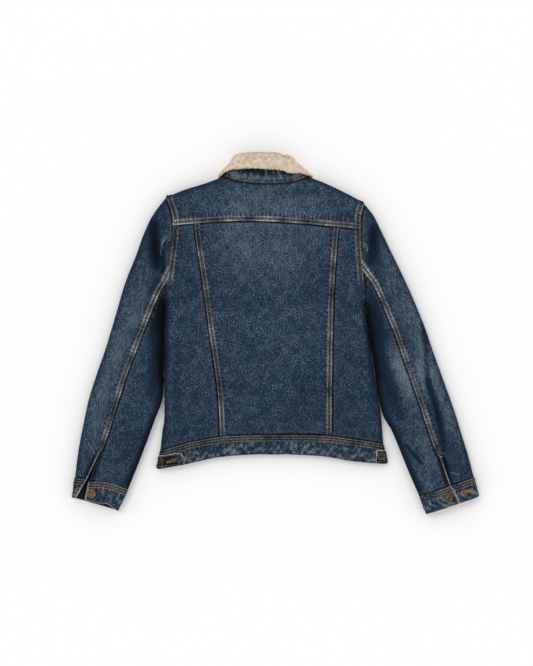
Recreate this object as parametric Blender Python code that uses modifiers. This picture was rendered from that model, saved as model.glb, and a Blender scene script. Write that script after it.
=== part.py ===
"""Sherpa lined denim jacket, laid flat on its front with the back up.

X runs from the wearer's left sleeve to the right one, Y from the hem to the collar and Z up from
the surface it lies on. All sizes are millimetres; MM turns them into the metres of the scene.

Every panel is drawn in plan between seam lines and lifted by one rule: the cloth lies level, and
at a fold its section is a quarter of an ellipse that turns down (or up) to half the height.
"""

import math
from collections import namedtuple

import bmesh
import bpy
import numpy as np
from mathutils import Vector

MM = 0.001

# Cloth
WALL = 3.0  # denim with the backing of its pile
SEAM_GAP = 0.3  # between two pieces that are sewn together
BAND_RAISE = 1.0  # bands and cuffs are this much proud of the panel they end
SLEEVE_CLEAR = 1.2  # between a sleeve and the side of the body
FOLD_RADIUS = 18.0  # plan width over which a fold turns from upright to level
ROLL = FOLD_RADIUS * (1 - np.cos(np.radians([0, 30, 60, 90])))
ROLL_SPANS = len(ROLL) - 1
MOST_ROLL = 0.42  # the fold's columns take at most this share of a narrow panel

# Heights of the back above the surface that the jacket lies on
BODY_LOFT = 26.0
NECK_LOFT = 30.0
HEM_LOFT = 16.0
CUFF_LOFT = 24.0
HEM_SETTLES = (-110.0, -200.0)  # Y where the body starts to sink and where it has sunk to the hem
NECK_CENTRE = (-19.0, 262.0)
NECK_SWELL = (70.0, 150.0)  # distances from the neck centre where the swell ends and has faded
FALL_SPREAD = (132.0, 182.0)  # the same for the lift of the fronts over the collar

# Collar, as layers counted outwards from the outer face of its stand
DENIM = 2.0
PILE = 5.0
LAYER_GAP = 0.6  # between the denim and the sherpa
FOLD_AIR = 1.8  # between the stand and the fall that is turned over it
FALL_STACK = FOLD_AIR + DENIM + LAYER_GAP + PILE
SHERPA_OVERHANG = 2.5  # the sherpa reaches this far past the denim at the edge of the fall

# Front closing
PLACKET_WIDTH = 38.0
PLACKET_LAP = 8.0  # the under placket is sewn this far onto its front
PLACKET_AIR = 1.0  # between the two plackets
PLACKET_LIFT = 3.6  # room for the button heads under the outer placket
PLACKET_EASE = (24.0, 48.0)  # distances from the centre line where that lift ends and has faded
CENTRE_TOP = (-19.0, 218.0)
CENTRE_BOTTOM = (-9.0, -231.0)
FRONT_BUTTONS = 7
FRONT_BUTTON_TOP = 207.0
FRONT_BUTTON_PITCH = 69.5
BUTTON_STAND = 11.0  # the placket is straight this far above and below the middle of a button

BUTTON_RADIUS = 8.5
BUTTON_HEIGHT = 3.0
SMALL_BUTTON_RADIUS = 7.0
BUTTON_PROFILE = [(0, 0.72), (0.45, 0.72), (0.82, 1), (1, 0.7), (0.9, 0), (0, 0)]  # shares of both
BUTTON_STEPS = 14
TAB_WALL = 2.5

# Seam lines that cross the whole back, from the wearer's left to the right
YOKE_SEAM = [
    (-194, 209), (-148, 212.8), (-93, 216.4), (-26, 216.6), (34, 213.4), (117, 206.5), (162, 201.5),
]  # fmt: skip
BACK_NECK = [(-98, 297), (-66, 289.8), (-19, 286.5), (30, 288.8), (60, 296)]
HEM_TOP = [
    (-219, -225.5), (-162, -209), (-100, -198), (-14, -195), (84, -196), (149, -203), (205, -212),
]  # fmt: skip
HEM_BOTTOM = [
    (-224, -259), (-172, -249.5), (-103, -235.4), (-14, -230), (84, -233.7), (149, -243.6), (211, -249),
]  # fmt: skip
FRONT_SEAM_Y = -197.0  # where the band is sewn to the fronts at the closing
YOKE_NODE = 5  # which node of the armhole the yoke seam meets
SLEEVE_SEAM_NODE = 6  # and which the back seam of the sleeve
CHEST_ROW = 7  # the row of a front's grid along its yoke seam
WAIST_ROW = 13  # and the row along which its panel is in two nodes
ELBOW_ROW = 10  # the row of an upper sleeve's grid along which it is in two nodes

Side = namedtuple(
    "Side",
    "name sign shoulder armhole flank hem_corner back_seam front_neck yoke_reach seam_reach sections cuff",
)
# One row is a section across a sleeve: its outer fold, the edge of the upper sleeve at the back
# seam, the edge of the under sleeve there (apart from it along the slit) and its inner fold.
Section = namedtuple("Section", "outer_x outer_y upper_x upper_y under_x under_y inner_x inner_y")
# A cuff: its corners at the sleeve and at the hand, and how far its free edge bows inwards.
Cuff = namedtuple("Cuff", "outer upper under inner button button_radius bow")

LEFT = Side(
    name="left",
    sign=-1,
    shoulder=[(-207.5, 258), (-172, 272), (-134, 283.5), (-98, 297)],
    armhole=[
        (-207.5, 258), (-197, 229), (-194, 209), (-195, 181), (-199, 146.5), (-203, 116), (-208, 77),
        (-210, 59),
    ],  # fmt: skip
    flank=[(-210, 59), (-211.5, -18), (-211, -89), (-211, -158.5), (-215, -188), (-219, -225.5)],
    hem_corner=(-224, -259),
    back_seam=[(-148, 212.8), (-146, 181), (-132, 90), (-123, 21), (-105, -106), (-100, -198)],
    front_neck=[(-98, 297), (-92, 262), (-72, 234), (-38, 218)],
    yoke_reach=209.0,
    seam_reach=135.0,
    sections=[
        Section(-207.5, 258, -200.6, 135, -200.6, 135, -210, 59),
        Section(-244.5, 200, -213, 112, -213, 112, -211, 42),
        Section(-265, 146.5, -229, 81, -229, 81, -212, 22),
        Section(-286, 93, -243, 45, -243, 45, -213, -8),
        Section(-306, 25, -257, 4, -257, 4, -213, -50),
        Section(-323, -31, -274, -38, -274, -38, -213, -95),
        Section(-338, -74, -291, -82, -291, -82, -216, -128),
        Section(-354, -124, -307, -131, -307, -131, -229, -163),
        Section(-364, -170, -321, -178, -321, -178, -245, -207),
        Section(-374, -222, -335, -228, -334, -228.5, -262, -251),
        Section(-381, -276, -358, -278, -352, -281, -281, -298),
    ],
    cuff=Cuff(
        outer=[(-381, -276), (-386, -313)],
        upper=[(-358, -278), (-377.5, -312)],
        under=[(-354, -283), (-361, -316)],
        inner=[(-281, -298), (-300, -338)],
        button=(-348, -304),
        button_radius=8.5,
        bow=5.0,
    ),
)
RIGHT = Side(
    name="right",
    sign=1,
    shoulder=[(168.5, 246), (145, 260), (92, 285), (60, 296)],
    armhole=[
        (168.5, 246), (161.8, 222), (161.5, 201.5), (161.8, 172), (163.4, 146.5), (165.5, 115.5), (169, 73),
        (170, 55),
    ],  # fmt: skip
    flank=[(170, 55), (175, 12.5), (186.6, -68), (197.6, -135.5), (202, -172), (205, -212)],
    hem_corner=(211, -249),
    back_seam=[(117, 206.5), (113, 181), (106.4, 90), (103.7, 21), (101.7, -106), (101.7, -196.5)],
    front_neck=[(60, 296), (54, 262), (34, 234), (0, 218)],
    yoke_reach=201.5,
    seam_reach=128.0,
    sections=[
        Section(168.5, 246, 164.6, 128, 164.6, 128, 170, 55),
        Section(196, 203, 178, 110, 178, 110, 172, 40),
        Section(217, 160, 190, 93, 190, 93, 175, 20),
        Section(239, 115, 202, 68, 202, 68, 179, -6),
        Section(261, 67, 216, 35, 216, 35, 184, -38),
        Section(283, 13, 233, -7, 233, -7, 190, -76),
        Section(302, -42, 250, -55, 250, -55, 197, -122),
        Section(323, -100, 270, -112, 270, -112, 206, -158),
        Section(341, -151, 287, -162, 287, -162, 221, -184),
        Section(355, -197, 301, -204, 301, -204, 236, -219),
        Section(367, -236, 314, -241, 314, -241, 252, -259),
        Section(377, -275, 331, -291, 329.5, -291.8, 274.5, -311),
    ],
    cuff=Cuff(
        outer=[(377, -275), (386.3, -310.5)],
        upper=[(331.5, -291), (348, -323)],
        under=[(331, -291.5), (347.5, -323.5)],
        inner=[(274.5, -311), (287, -344)],
        button=(328.5, -312),
        button_radius=7.5,
        bow=0.0,
    ),
)

# Soft troughs in the upper cloth: from one end to the other, half width and depth
Crease = namedtuple("Crease", "x0 y0 x1 y1 reach depth")
CREASES = [
    Crease(-226, 214, -222, 128, 15, 5),
    Crease(188, 196, 184, 132, 14, 4),
    Crease(-330, -60, -268, -8, 16, 2.5),
    Crease(-318, -10, -262, 30, 14, 2),
    Crease(300, -20, 245, 20, 16, 2.5),
    Crease(322, -78, 262, -40, 14, 2),
    Crease(2, 262, 80, 268, 14, 1.5),
    Crease(-196, 62, -168, 66, 12, 1.5),
]


def smooth(share):
    """A ramp from 0 to 1 that starts and ends level."""
    share = np.clip(share, 0, 1)
    return share * share * (3 - 2 * share)


def curve(points, steps):
    """A smooth line through points, with this many straight steps between two of them."""
    points = np.array(points, float)
    ends = np.vstack([2 * points[0] - points[1], points, 2 * points[-1] - points[-2]])
    line = []
    for before, start, end, after in zip(ends, ends[1:], ends[2:], ends[3:]):
        for t in np.arange(steps) / steps:
            pull = (end - before) / 2 * (t - 2 * t**2 + t**3) + (after - start) / 2 * (t**3 - t**2)
            line.append(start * (1 - smooth(t)) + end * smooth(t) + pull)
    return np.array(line + [points[-1]])


def lengths(line):
    """The distance along a line to each of its points."""
    return np.concatenate([[0], np.cumsum(np.linalg.norm(np.diff(line, axis=0), axis=1))])


def along(line, distances):
    """The points at these distances along a line."""
    marks = lengths(line)
    return np.stack([np.interp(distances, marks, line[:, k]) for k in (0, 1)], axis=1)


def evenly(line, spans):
    """The line in this many equal spans."""
    return along(line, np.linspace(0, lengths(line)[-1], spans + 1))


def shares_of(line):
    """How far along the line each of its points is, from 0 to 1."""
    return lengths(line) / lengths(line)[-1]


def cut_at_y(line, level):
    """The distance along a falling line at which it reaches this Y."""
    return np.interp(-level, -line[:, 1], lengths(line))


def armhole_nodes(side):
    """The armhole from shoulder to underarm in 12 spans, shared by the body and the sleeve.

    Three spans at each end follow the fold, and a node lies on the yoke seam and on the sleeve's.
    """
    line = curve(side.armhole, 6)
    yoke, seam = cut_at_y(line, side.yoke_reach), cut_at_y(line, side.seam_reach)
    end = lengths(line)[-1]
    above = [(FOLD_RADIUS + yoke) / 2, yoke, seam]
    below = np.linspace(seam, end - FOLD_RADIUS, 4)[1:-1]
    return along(line, np.concatenate([ROLL, above, below, end - ROLL[::-1]]))


def columns(left, right, roll_left, roll_right, plain, first=None, settle=4):
    """Where the columns of a panel cross each row, from 0 at its left edge to 1 at its right edge.

    Columns follow the fold on an edge that rolls, and `plain` even spans lie between. `first` gives
    the places on the first row, which settle to the rule over some rows.
    """
    rows = []
    for width in np.linalg.norm(right - left, axis=1):
        roll = ROLL * min(1, MOST_ROLL * width / FOLD_RADIUS) / width
        start = roll if roll_left else np.zeros(1)
        end = 1 - roll[::-1] if roll_right else np.ones(1)
        middle = np.linspace(start[-1], end[0], plain + 1)[1:-1]
        rows.append(np.concatenate([start, middle, end]))
    rows = np.array(rows)
    if first is None:
        return rows
    settled = smooth(np.arange(len(rows)) / settle)[:, None]
    return first * (1 - settled) + rows * settled


def patch(left, right, top, bottom, places):
    """Plan points between four edges: straight rows, plus the bow of top and bottom faded across."""
    depth = np.linspace(0, 1, len(left))[:, None, None]
    grid = left[:, None] * (1 - places[..., None]) + right[:, None] * places[..., None]
    for edge, weight, at in ((top, 1 - depth, places[0]), (bottom, depth, places[-1])):
        bow = edge - (edge[0] * (1 - at[:, None]) + edge[-1] * at[:, None])
        grid = grid + weight * np.stack([np.interp(places, at, bow[:, k]) for k in (0, 1)], axis=2)
    return grid


def fold_reach(grid, folds):
    """For each plan point, the distance to the nearest fold line and the direction away from it.

    A fold line has the cloth on the side its `inward` sign says. On the line itself the direction
    is square to it.
    """
    nearest = np.full(grid.shape[:2], np.inf)
    away = np.zeros(grid.shape)
    for line, inward in folds:
        step = np.diff(line, axis=0)
        square = inward * np.stack([-step[:, 1], step[:, 0]], axis=1) / np.linalg.norm(step, axis=1)[:, None]
        for k, (start, span) in enumerate(zip(line, step)):
            share = np.clip(((grid - start) @ span) / (span @ span), 0, 1)
            reach = grid - (start + share[..., None] * span)
            distance = np.linalg.norm(reach, axis=2)
            turn = square[max(k - 1, 0)] * (share < 1e-6)[..., None]
            turn = turn + square[min(k + 1, len(step) - 1)] * (share > 1 - 1e-6)[..., None]
            corner = square[k] + turn
            corner = corner / np.linalg.norm(corner, axis=2)[..., None]
            on_line = (distance < 1e-3)[..., None]
            heading = np.where(on_line, corner, reach / np.maximum(distance, 1e-9)[..., None])
            closer = distance < nearest - 1e-6
            nearest = np.where(closer, distance, nearest)
            away = np.where(closer[..., None], heading, away)
    return nearest, away


def neck_share(x, y, near, far):
    """1 close to the neck and 0 far from it."""
    return smooth((far - np.hypot(x - NECK_CENTRE[0], y - NECK_CENTRE[1])) / (far - near))


def centre_x(y):
    """The line down the middle of the closed fronts."""
    share = (y - CENTRE_BOTTOM[1]) / (CENTRE_TOP[1] - CENTRE_BOTTOM[1])
    return CENTRE_BOTTOM[0] + share * (CENTRE_TOP[0] - CENTRE_BOTTOM[0])


def body_high(x, y):
    """Height of the back: it swells at the neck and sinks to the hem."""
    sink = smooth((HEM_SETTLES[0] - y) / (HEM_SETTLES[0] - HEM_SETTLES[1]))
    return BODY_LOFT + (NECK_LOFT - BODY_LOFT) * neck_share(x, y, *NECK_SWELL) - (BODY_LOFT - HEM_LOFT) * sink


def body_low(x, y):
    """Height of the fronts' outer face: over the collar's fall, and over the heads of the buttons."""
    near, far = PLACKET_EASE
    placket = PLACKET_LIFT * smooth((far - np.abs(x - centre_x(y))) / (far - near))
    return np.maximum(FALL_STACK * neck_share(x, y, *FALL_SPREAD), placket)


def crease_depth(x, y):
    """How deep the troughs of the upper cloth are here."""
    depth = np.zeros(np.shape(x))
    for crease in CREASES:
        start = np.array([crease.x0, crease.y0])
        span = np.array([crease.x1, crease.y1]) - start
        share = ((x - start[0]) * span[0] + (y - start[1]) * span[1]) / (span @ span)
        held = np.clip(share, 0, 1)
        distance = np.hypot(x - start[0] - held * span[0], y - start[1] - held * span[1])
        depth = depth + crease.depth * smooth(1 - distance / crease.reach)
    return depth


Sheet = namedtuple("Sheet", "points normals")
# The index of each edge of a grid, that of the line beside it, and the axis they are counted on
EDGES = {
    "first_row": (0, 1, 0),
    "last_row": (-1, -2, 0),
    "first_column": (0, 1, 1),
    "last_column": (-1, -2, 1),
}


def sheet(grid, folds, high, low, under=False, proud=0.0, apart=()):
    """The outer face of a panel and its normals, lifted from plan points.

    `apart` names the edges that meet another piece, which draw back by half the seam gap.
    """
    distance, away = fold_reach(grid, folds)
    x, y = grid[..., 0], grid[..., 1]
    turn = np.clip(distance / FOLD_RADIUS, 0, 1)
    level = np.sqrt(1 - (1 - turn) ** 2)
    half = (high - low) / 2
    facing = -1 if under else 1
    height = low + half + facing * (SEAM_GAP / 2 + (half - SEAM_GAP / 2) * level)
    height = height - (0 if under else crease_depth(x, y) * level)
    lean = -away * (half * (1 - turn) / FOLD_RADIUS)[..., None]
    normals = np.dstack([lean, facing * level])
    normals = normals / np.linalg.norm(normals, axis=2)[..., None]
    points = np.dstack([drawn_back(grid, apart), height])
    points = points + normals * (proud * (1 + normals[..., 2:]) / 2)
    return Sheet(points, normals)


def drawn_back(grid, apart):
    """Plan points with the named edges moved inwards by half the seam gap."""
    moved = grid.copy()
    for name in apart:
        edge, neighbour, axis = EDGES[name]
        along_edge = grid.take(edge, axis=axis)
        tangent = np.gradient(along_edge, axis=0)
        square = np.stack([-tangent[:, 1], tangent[:, 0]], axis=1)
        square = square / np.linalg.norm(square, axis=1)[:, None]
        inward = np.sign(np.sum(square * (grid.take(neighbour, axis=axis) - along_edge), axis=1))[:, None]
        shift = square * inward * SEAM_GAP / 2
        if axis == 0:
            moved[edge] += shift
        else:
            moved[:, edge] += shift
    return moved


def joined(*sheets):
    """Sheets side by side, each sharing its first column with the last of the one before."""
    first, rest = sheets[0], sheets[1:]
    points = np.concatenate([first.points] + [s.points[:, 1:] for s in rest], axis=1)
    normals = np.concatenate([first.normals] + [s.normals[:, 1:] for s in rest], axis=1)
    return Sheet(points, normals)


def turned(one):
    """The same sheet with its columns in reverse order."""
    return Sheet(one.points[:, ::-1], one.normals[:, ::-1])


def divided(one, row):
    """The sheet in two along a row, each part drawn back from it by half the seam gap."""
    upper, lower = one.points[: row + 1].copy(), one.points[row:].copy()
    for points, edge, neighbour in ((upper, -1, -2), (lower, 0, 1)):
        inward = points[neighbour] - points[edge]
        points[edge] += inward / np.linalg.norm(inward, axis=1)[:, None] * SEAM_GAP / 2
    return Sheet(upper, one.normals[: row + 1]), Sheet(lower, one.normals[row:])


def finish_material(name, colour, roughness, metallic=0.0):
    """A plain Principled BSDF material."""
    material = bpy.data.materials.new(name)
    material.use_nodes = True
    shader = material.node_tree.nodes["Principled BSDF"]
    shader.inputs["Base Color"].default_value = (*colour, 1)
    shader.inputs["Roughness"].default_value = roughness
    shader.inputs["Metallic"].default_value = metallic
    material.diffuse_color = (*colour, 1)
    return material


def add_object(name, mesh, material, collection):
    """An object for a mesh, shaded smooth but for its sharp edges."""
    mesh.materials.append(material)
    mesh.shade_smooth()
    mesh.set_sharp_from_angle(angle=math.radians(50))
    thing = bpy.data.objects.new(name, mesh)
    collection.objects.link(thing)
    return thing


def add_wall(name, outer, inner, material, collection):
    """A closed wall between an outer and an inner grid of points."""
    rows, count = outer.shape[:2]
    model = bmesh.new()
    faces = [
        [model.verts.new(Vector(point) * MM) for point in face.reshape(-1, 3)] for face in (outer, inner)
    ]
    for row in range(rows - 1):
        for column in range(count - 1):
            corner = row * count + column
            far = corner + count + 1
            for loop in ((corner, corner + 1, far), (corner, far, corner + count)):
                model.faces.new([faces[0][k] for k in loop])
                model.faces.new([faces[1][k] for k in reversed(loop)])
    rim = list(range(count)) + [row * count + count - 1 for row in range(1, rows)]
    rim += [(rows - 1) * count + column for column in range(count - 2, -1, -1)]
    rim += [row * count for row in range(rows - 2, 0, -1)]
    heights = outer.reshape(-1, 3)[:, 1]
    for here, there in zip(rim, rim[1:] + rim[:1]):
        # The split starts at the upper end, so that the rims of two neighbours split alike.
        corners = [faces[0][there], faces[0][here], faces[1][here], faces[1][there]]
        if heights[here] < heights[there]:
            corners = corners[-1:] + corners[:-1]
        model.faces.new([corners[0], corners[1], corners[3]])
        model.faces.new([corners[1], corners[2], corners[3]])
    bmesh.ops.recalc_face_normals(model, faces=model.faces)
    mesh = bpy.data.meshes.new(name)
    model.to_mesh(mesh)
    model.free()
    return add_object(name, mesh, material, collection)


def add_cloth(name, one, material, collection, wall=WALL):
    """A panel: its outer face, and an inner face one wall thickness behind it."""
    return add_wall(name, one.points, one.points - one.normals * wall, material, collection)


def add_button(name, place, facing, radius, material, collection):
    """A tack button: a dished, rimmed cap turned round its shank, standing just off the cloth."""
    profile = [(radius * across, BUTTON_HEIGHT * up) for across, up in BUTTON_PROFILE]
    mesh = bpy.data.meshes.new(name)
    edges = [(k, k + 1) for k in range(len(profile) - 1)]
    mesh.from_pydata([(x * MM, 0, z * MM) for x, z in profile], edges, [])
    thing = add_object(name, mesh, material, collection)
    screw = thing.modifiers.new("turn", "SCREW")
    screw.steps = screw.render_steps = BUTTON_STEPS
    screw.use_merge_vertices = True
    screw.merge_threshold = 1e-5
    facing = Vector(facing)
    thing.location = (Vector(place) + facing * SEAM_GAP) * MM
    thing.rotation_euler = facing.to_track_quat("Z", "Y").to_euler()
    return thing


class Outline:
    """The plan lines of one side of the jacket, in the spans that neighbouring pieces share."""

    def __init__(self, side):
        self.side = side
        self.shoulder = evenly(curve(side.shoulder, 4), 5)
        self.armhole = armhole_nodes(side)
        self.flank = evenly(curve(side.flank, 4), 7)
        self.hem_corner = np.array(side.hem_corner, float)
        self.front_neck = self.neck_nodes(curve(side.front_neck, 5), 3)
        sections = np.array(side.sections, float)
        clear = self.clear_of_body(sections)
        self.outer, self.upper, self.under, self.inner = (
            curve(points, 2) for points in (sections[:, 0:2], sections[:, 2:4], sections[:, 4:6], clear)
        )
        cuff = side.cuff
        self.outer_fold = np.vstack([self.shoulder[::-1], self.outer[1:], cuff.outer[1]])
        self.inner_fold = np.vstack([self.inner, cuff.inner[1]])
        self.side_fold = np.vstack([self.flank, self.hem_corner])

    @staticmethod
    def neck_nodes(line, plain):
        """A neck line from the shoulder: spans that follow the fold, then plain ones."""
        end = lengths(line)[-1]
        return along(line, np.concatenate([ROLL, np.linspace(FOLD_RADIUS, end, plain + 1)[1:]]))

    def clear_of_body(self, sections):
        """The inner fold of the sleeve, moved clear of the body's side where it runs along it."""
        inner = sections[:, 6:8].copy()
        sign = self.side.sign
        line = np.vstack([self.flank, self.hem_corner])
        edge = np.interp(-inner[1:, 1], -line[:, 1], line[:, 0])
        inner[1:, 0] = sign * np.maximum(sign * inner[1:, 0], sign * edge + SLEEVE_CLEAR)
        return inner

    def sleeve_folds(self):
        """The two folds of the flattened sleeve."""
        return [(self.outer_fold, -self.side.sign), (self.inner_fold, self.side.sign)]

    def body_folds(self):
        """The folds on this side of the body: shoulder, sleeve head and flank."""
        return [(self.outer_fold, -self.side.sign), (self.side_fold, -self.side.sign)]


def stretch(line, start, end, places):
    """Points of a line between the nodes nearest to start and end, at places from 0 to 1."""
    marks = lengths(line)
    first, last = (marks[np.argmin(np.linalg.norm(line - np.array(p), axis=1))] for p in (start, end))
    return along(line, first + np.asarray(places) * (last - first))


HALVES = (0, 0.5, 1)


def straight(start, end, places):
    """Points of a straight line at places from 0 to 1."""
    start, end = np.array(start, float), np.array(end, float)
    return start + np.asarray(places)[:, None] * (end - start)


class Body:
    """The trunk of the jacket: yoke, back, fronts, plackets and hem band."""

    def __init__(self, left, right, denim, collection):
        self.left, self.right = left, right
        self.denim, self.collection = denim, collection
        self.folds = left.body_folds() + right.body_folds()
        self.yoke_seam = curve(YOKE_SEAM, 4)
        self.yoke_seam[0], self.yoke_seam[-1] = left.armhole[YOKE_NODE], right.armhole[YOKE_NODE]
        self.hem_top = curve(HEM_TOP, 4)
        self.hem_bottom = curve(HEM_BOTTOM, 4)
        neck = curve(BACK_NECK, 5)
        level = np.linspace(FOLD_RADIUS, lengths(neck)[-1] - FOLD_RADIUS, 7)[1:-1]
        self.neck = along(neck, np.concatenate([ROLL, level, lengths(neck)[-1] - ROLL[::-1]]))

    def lift(self, grid, **options):
        """The outer face of a piece of the body over these plan points."""
        x, y = grid[..., 0], grid[..., 1]
        return sheet(grid, self.folds, body_high(x, y), body_low(x, y), **options)

    def add(self, name, grid, **options):
        """A panel of the body over these plan points."""
        return add_cloth(name, self.lift(grid, **options), self.denim, self.collection)

    def build_yoke(self):
        """The back yoke, from the shoulders and the neck down to its seam."""
        top = np.vstack([self.left.shoulder, self.neck[1:], self.right.shoulder[::-1][1:]])
        left, right = self.left.armhole[: YOKE_NODE + 1], self.right.armhole[: YOKE_NODE + 1]
        places = np.tile(shares_of(top), (len(left), 1))
        bottom = stretch(self.yoke_seam, self.yoke_seam[0], self.yoke_seam[-1], places[-1])
        grid = patch(left, right, top, bottom, places)
        self.add("back_yoke", grid, apart=("last_row", "first_column", "last_column"))

    def build_back(self):
        """The centre back panel and the two side back panels, and the hem band below them."""
        seams, bottoms = [], []
        all_round = ("first_row", "last_row", "first_column", "last_column")
        for outline in (self.left, self.right):
            edge = np.vstack([outline.armhole[YOKE_NODE:], outline.flank[1:]])
            seam = curve(outline.side.back_seam, 4)
            seam = along(seam, shares_of(edge) * lengths(seam)[-1])
            places = columns(edge, seam, True, False, 3)
            top = stretch(self.yoke_seam, edge[0], seam[0], places[0])
            bottom = stretch(self.hem_top, edge[-1], seam[-1], places[-1])
            grid = patch(edge, seam, top, bottom, places)
            self.add("back_panel_" + outline.side.name, grid, apart=all_round)
            seams.append(seam)
            bottoms.append(bottom)
        places = columns(seams[0], seams[1], False, False, 8)
        top = stretch(self.yoke_seam, seams[0][0], seams[1][0], places[0])
        bottom = stretch(self.hem_top, seams[0][-1], seams[1][-1], places[-1])
        grid = patch(seams[0], seams[1], top, bottom, places)
        self.add("back_panel_centre", grid, apart=all_round)
        self.build_hem_back(np.vstack([bottoms[0], bottom[1:], bottoms[1][::-1][1:]]))

    def build_hem_back(self, top):
        """The hem band across the back, from flank to flank."""
        share = shares_of(top)
        bottom = along(self.hem_bottom, share * lengths(self.hem_bottom)[-1])
        left, right = straight(top[0], bottom[0], HALVES), straight(top[-1], bottom[-1], HALVES)
        grid = patch(left, right, top, bottom, np.tile(share, (len(HALVES), 1)))
        self.add("hem_band_back", grid, apart=("first_row",), proud=BAND_RAISE)

    def build_fronts(self):
        """The fronts, which lie underneath, with their part of the hem band."""
        for outline in (self.left, self.right):
            sign = outline.side.sign
            edge = np.vstack([outline.armhole, outline.flank[1:]])
            levels = (CENTRE_TOP[1], FRONT_SEAM_Y, CENTRE_BOTTOM[1])
            closing = [(centre_x(y) + sign * PLACKET_WIDTH / 2, y) for y in levels]
            front_edge = straight(closing[0], closing[1], shares_of(edge))
            top = np.vstack([outline.shoulder, outline.front_neck[1:-1], closing[0]])
            plain = len(top) - 1 - ROLL_SPANS
            places = columns(edge, front_edge, True, False, plain, shares_of(top), settle=10)
            bottom = stretch(self.hem_top, edge[-1], closing[1], places[-1])
            bottom[-1] = closing[1]
            grid = patch(edge, front_edge, top, bottom, places)
            apart = ("first_column", "last_row", "last_column")
            front = self.lift(grid, under=True, apart=apart)
            chest, panel = divided(front, CHEST_ROW)
            parts = (chest, *divided(panel, WAIST_ROW - CHEST_ROW))
            for part, one in zip(("yoke", "panel_high", "panel_low"), parts):
                add_cloth(f"front_{part}_{outline.side.name}", one, self.denim, self.collection)
            hem = stretch(self.hem_bottom, outline.hem_corner, closing[2], places[-1])
            hem[-1] = closing[2]
            left = straight(bottom[0], hem[0], HALVES)
            right = straight(bottom[-1], hem[-1], HALVES)
            grid = patch(left, right, bottom, hem, np.tile(places[-1], (len(HALVES), 1)))
            name, apart = "hem_band_front_" + outline.side.name, ("first_row", "last_column")
            self.add(name, grid, under=True, apart=apart, proud=BAND_RAISE)

    def build_plackets(self):
        """The closed front edges: the right one outside with the buttons' heads, the left one behind it."""
        buttons = FRONT_BUTTON_TOP - FRONT_BUTTON_PITCH * np.arange(FRONT_BUTTONS)
        stands = np.stack([buttons + BUTTON_STAND, buttons - BUTTON_STAND], axis=1).ravel()
        heights = np.concatenate([stands, [CENTRE_BOTTOM[1]]])
        half = PLACKET_WIDTH / 2
        for name, start, end, layer in (("right", -half, half, 0), ("left", -half - PLACKET_LAP, half, 1)):
            across = np.linspace(start, end, 3)
            points = np.broadcast_arrays(centre_x(heights)[:, None] + across, heights[:, None])
            grid = np.stack(points, axis=2)
            one = self.lift(grid, under=True, apart=("first_row", "first_column", "last_column"))
            behind = one.points - one.normals * layer * (WALL + PLACKET_AIR)
            add_cloth("placket_" + name, Sheet(behind, one.normals), self.denim, self.collection)
            if layer == 0:
                self.placket = one.points

    def spot(self, x, y, under=False, proud=0.0):
        """One point of the outer face and the direction that the cloth faces there."""
        one = self.lift(np.array([[[x, y], [x + 1, y], [x, y + 1]]], float), under=under, proud=proud)
        point, beside, above = one.points[0]
        facing = np.cross(beside - point, above - point)
        return point, facing / np.linalg.norm(facing) * (-1 if under else 1)


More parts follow.
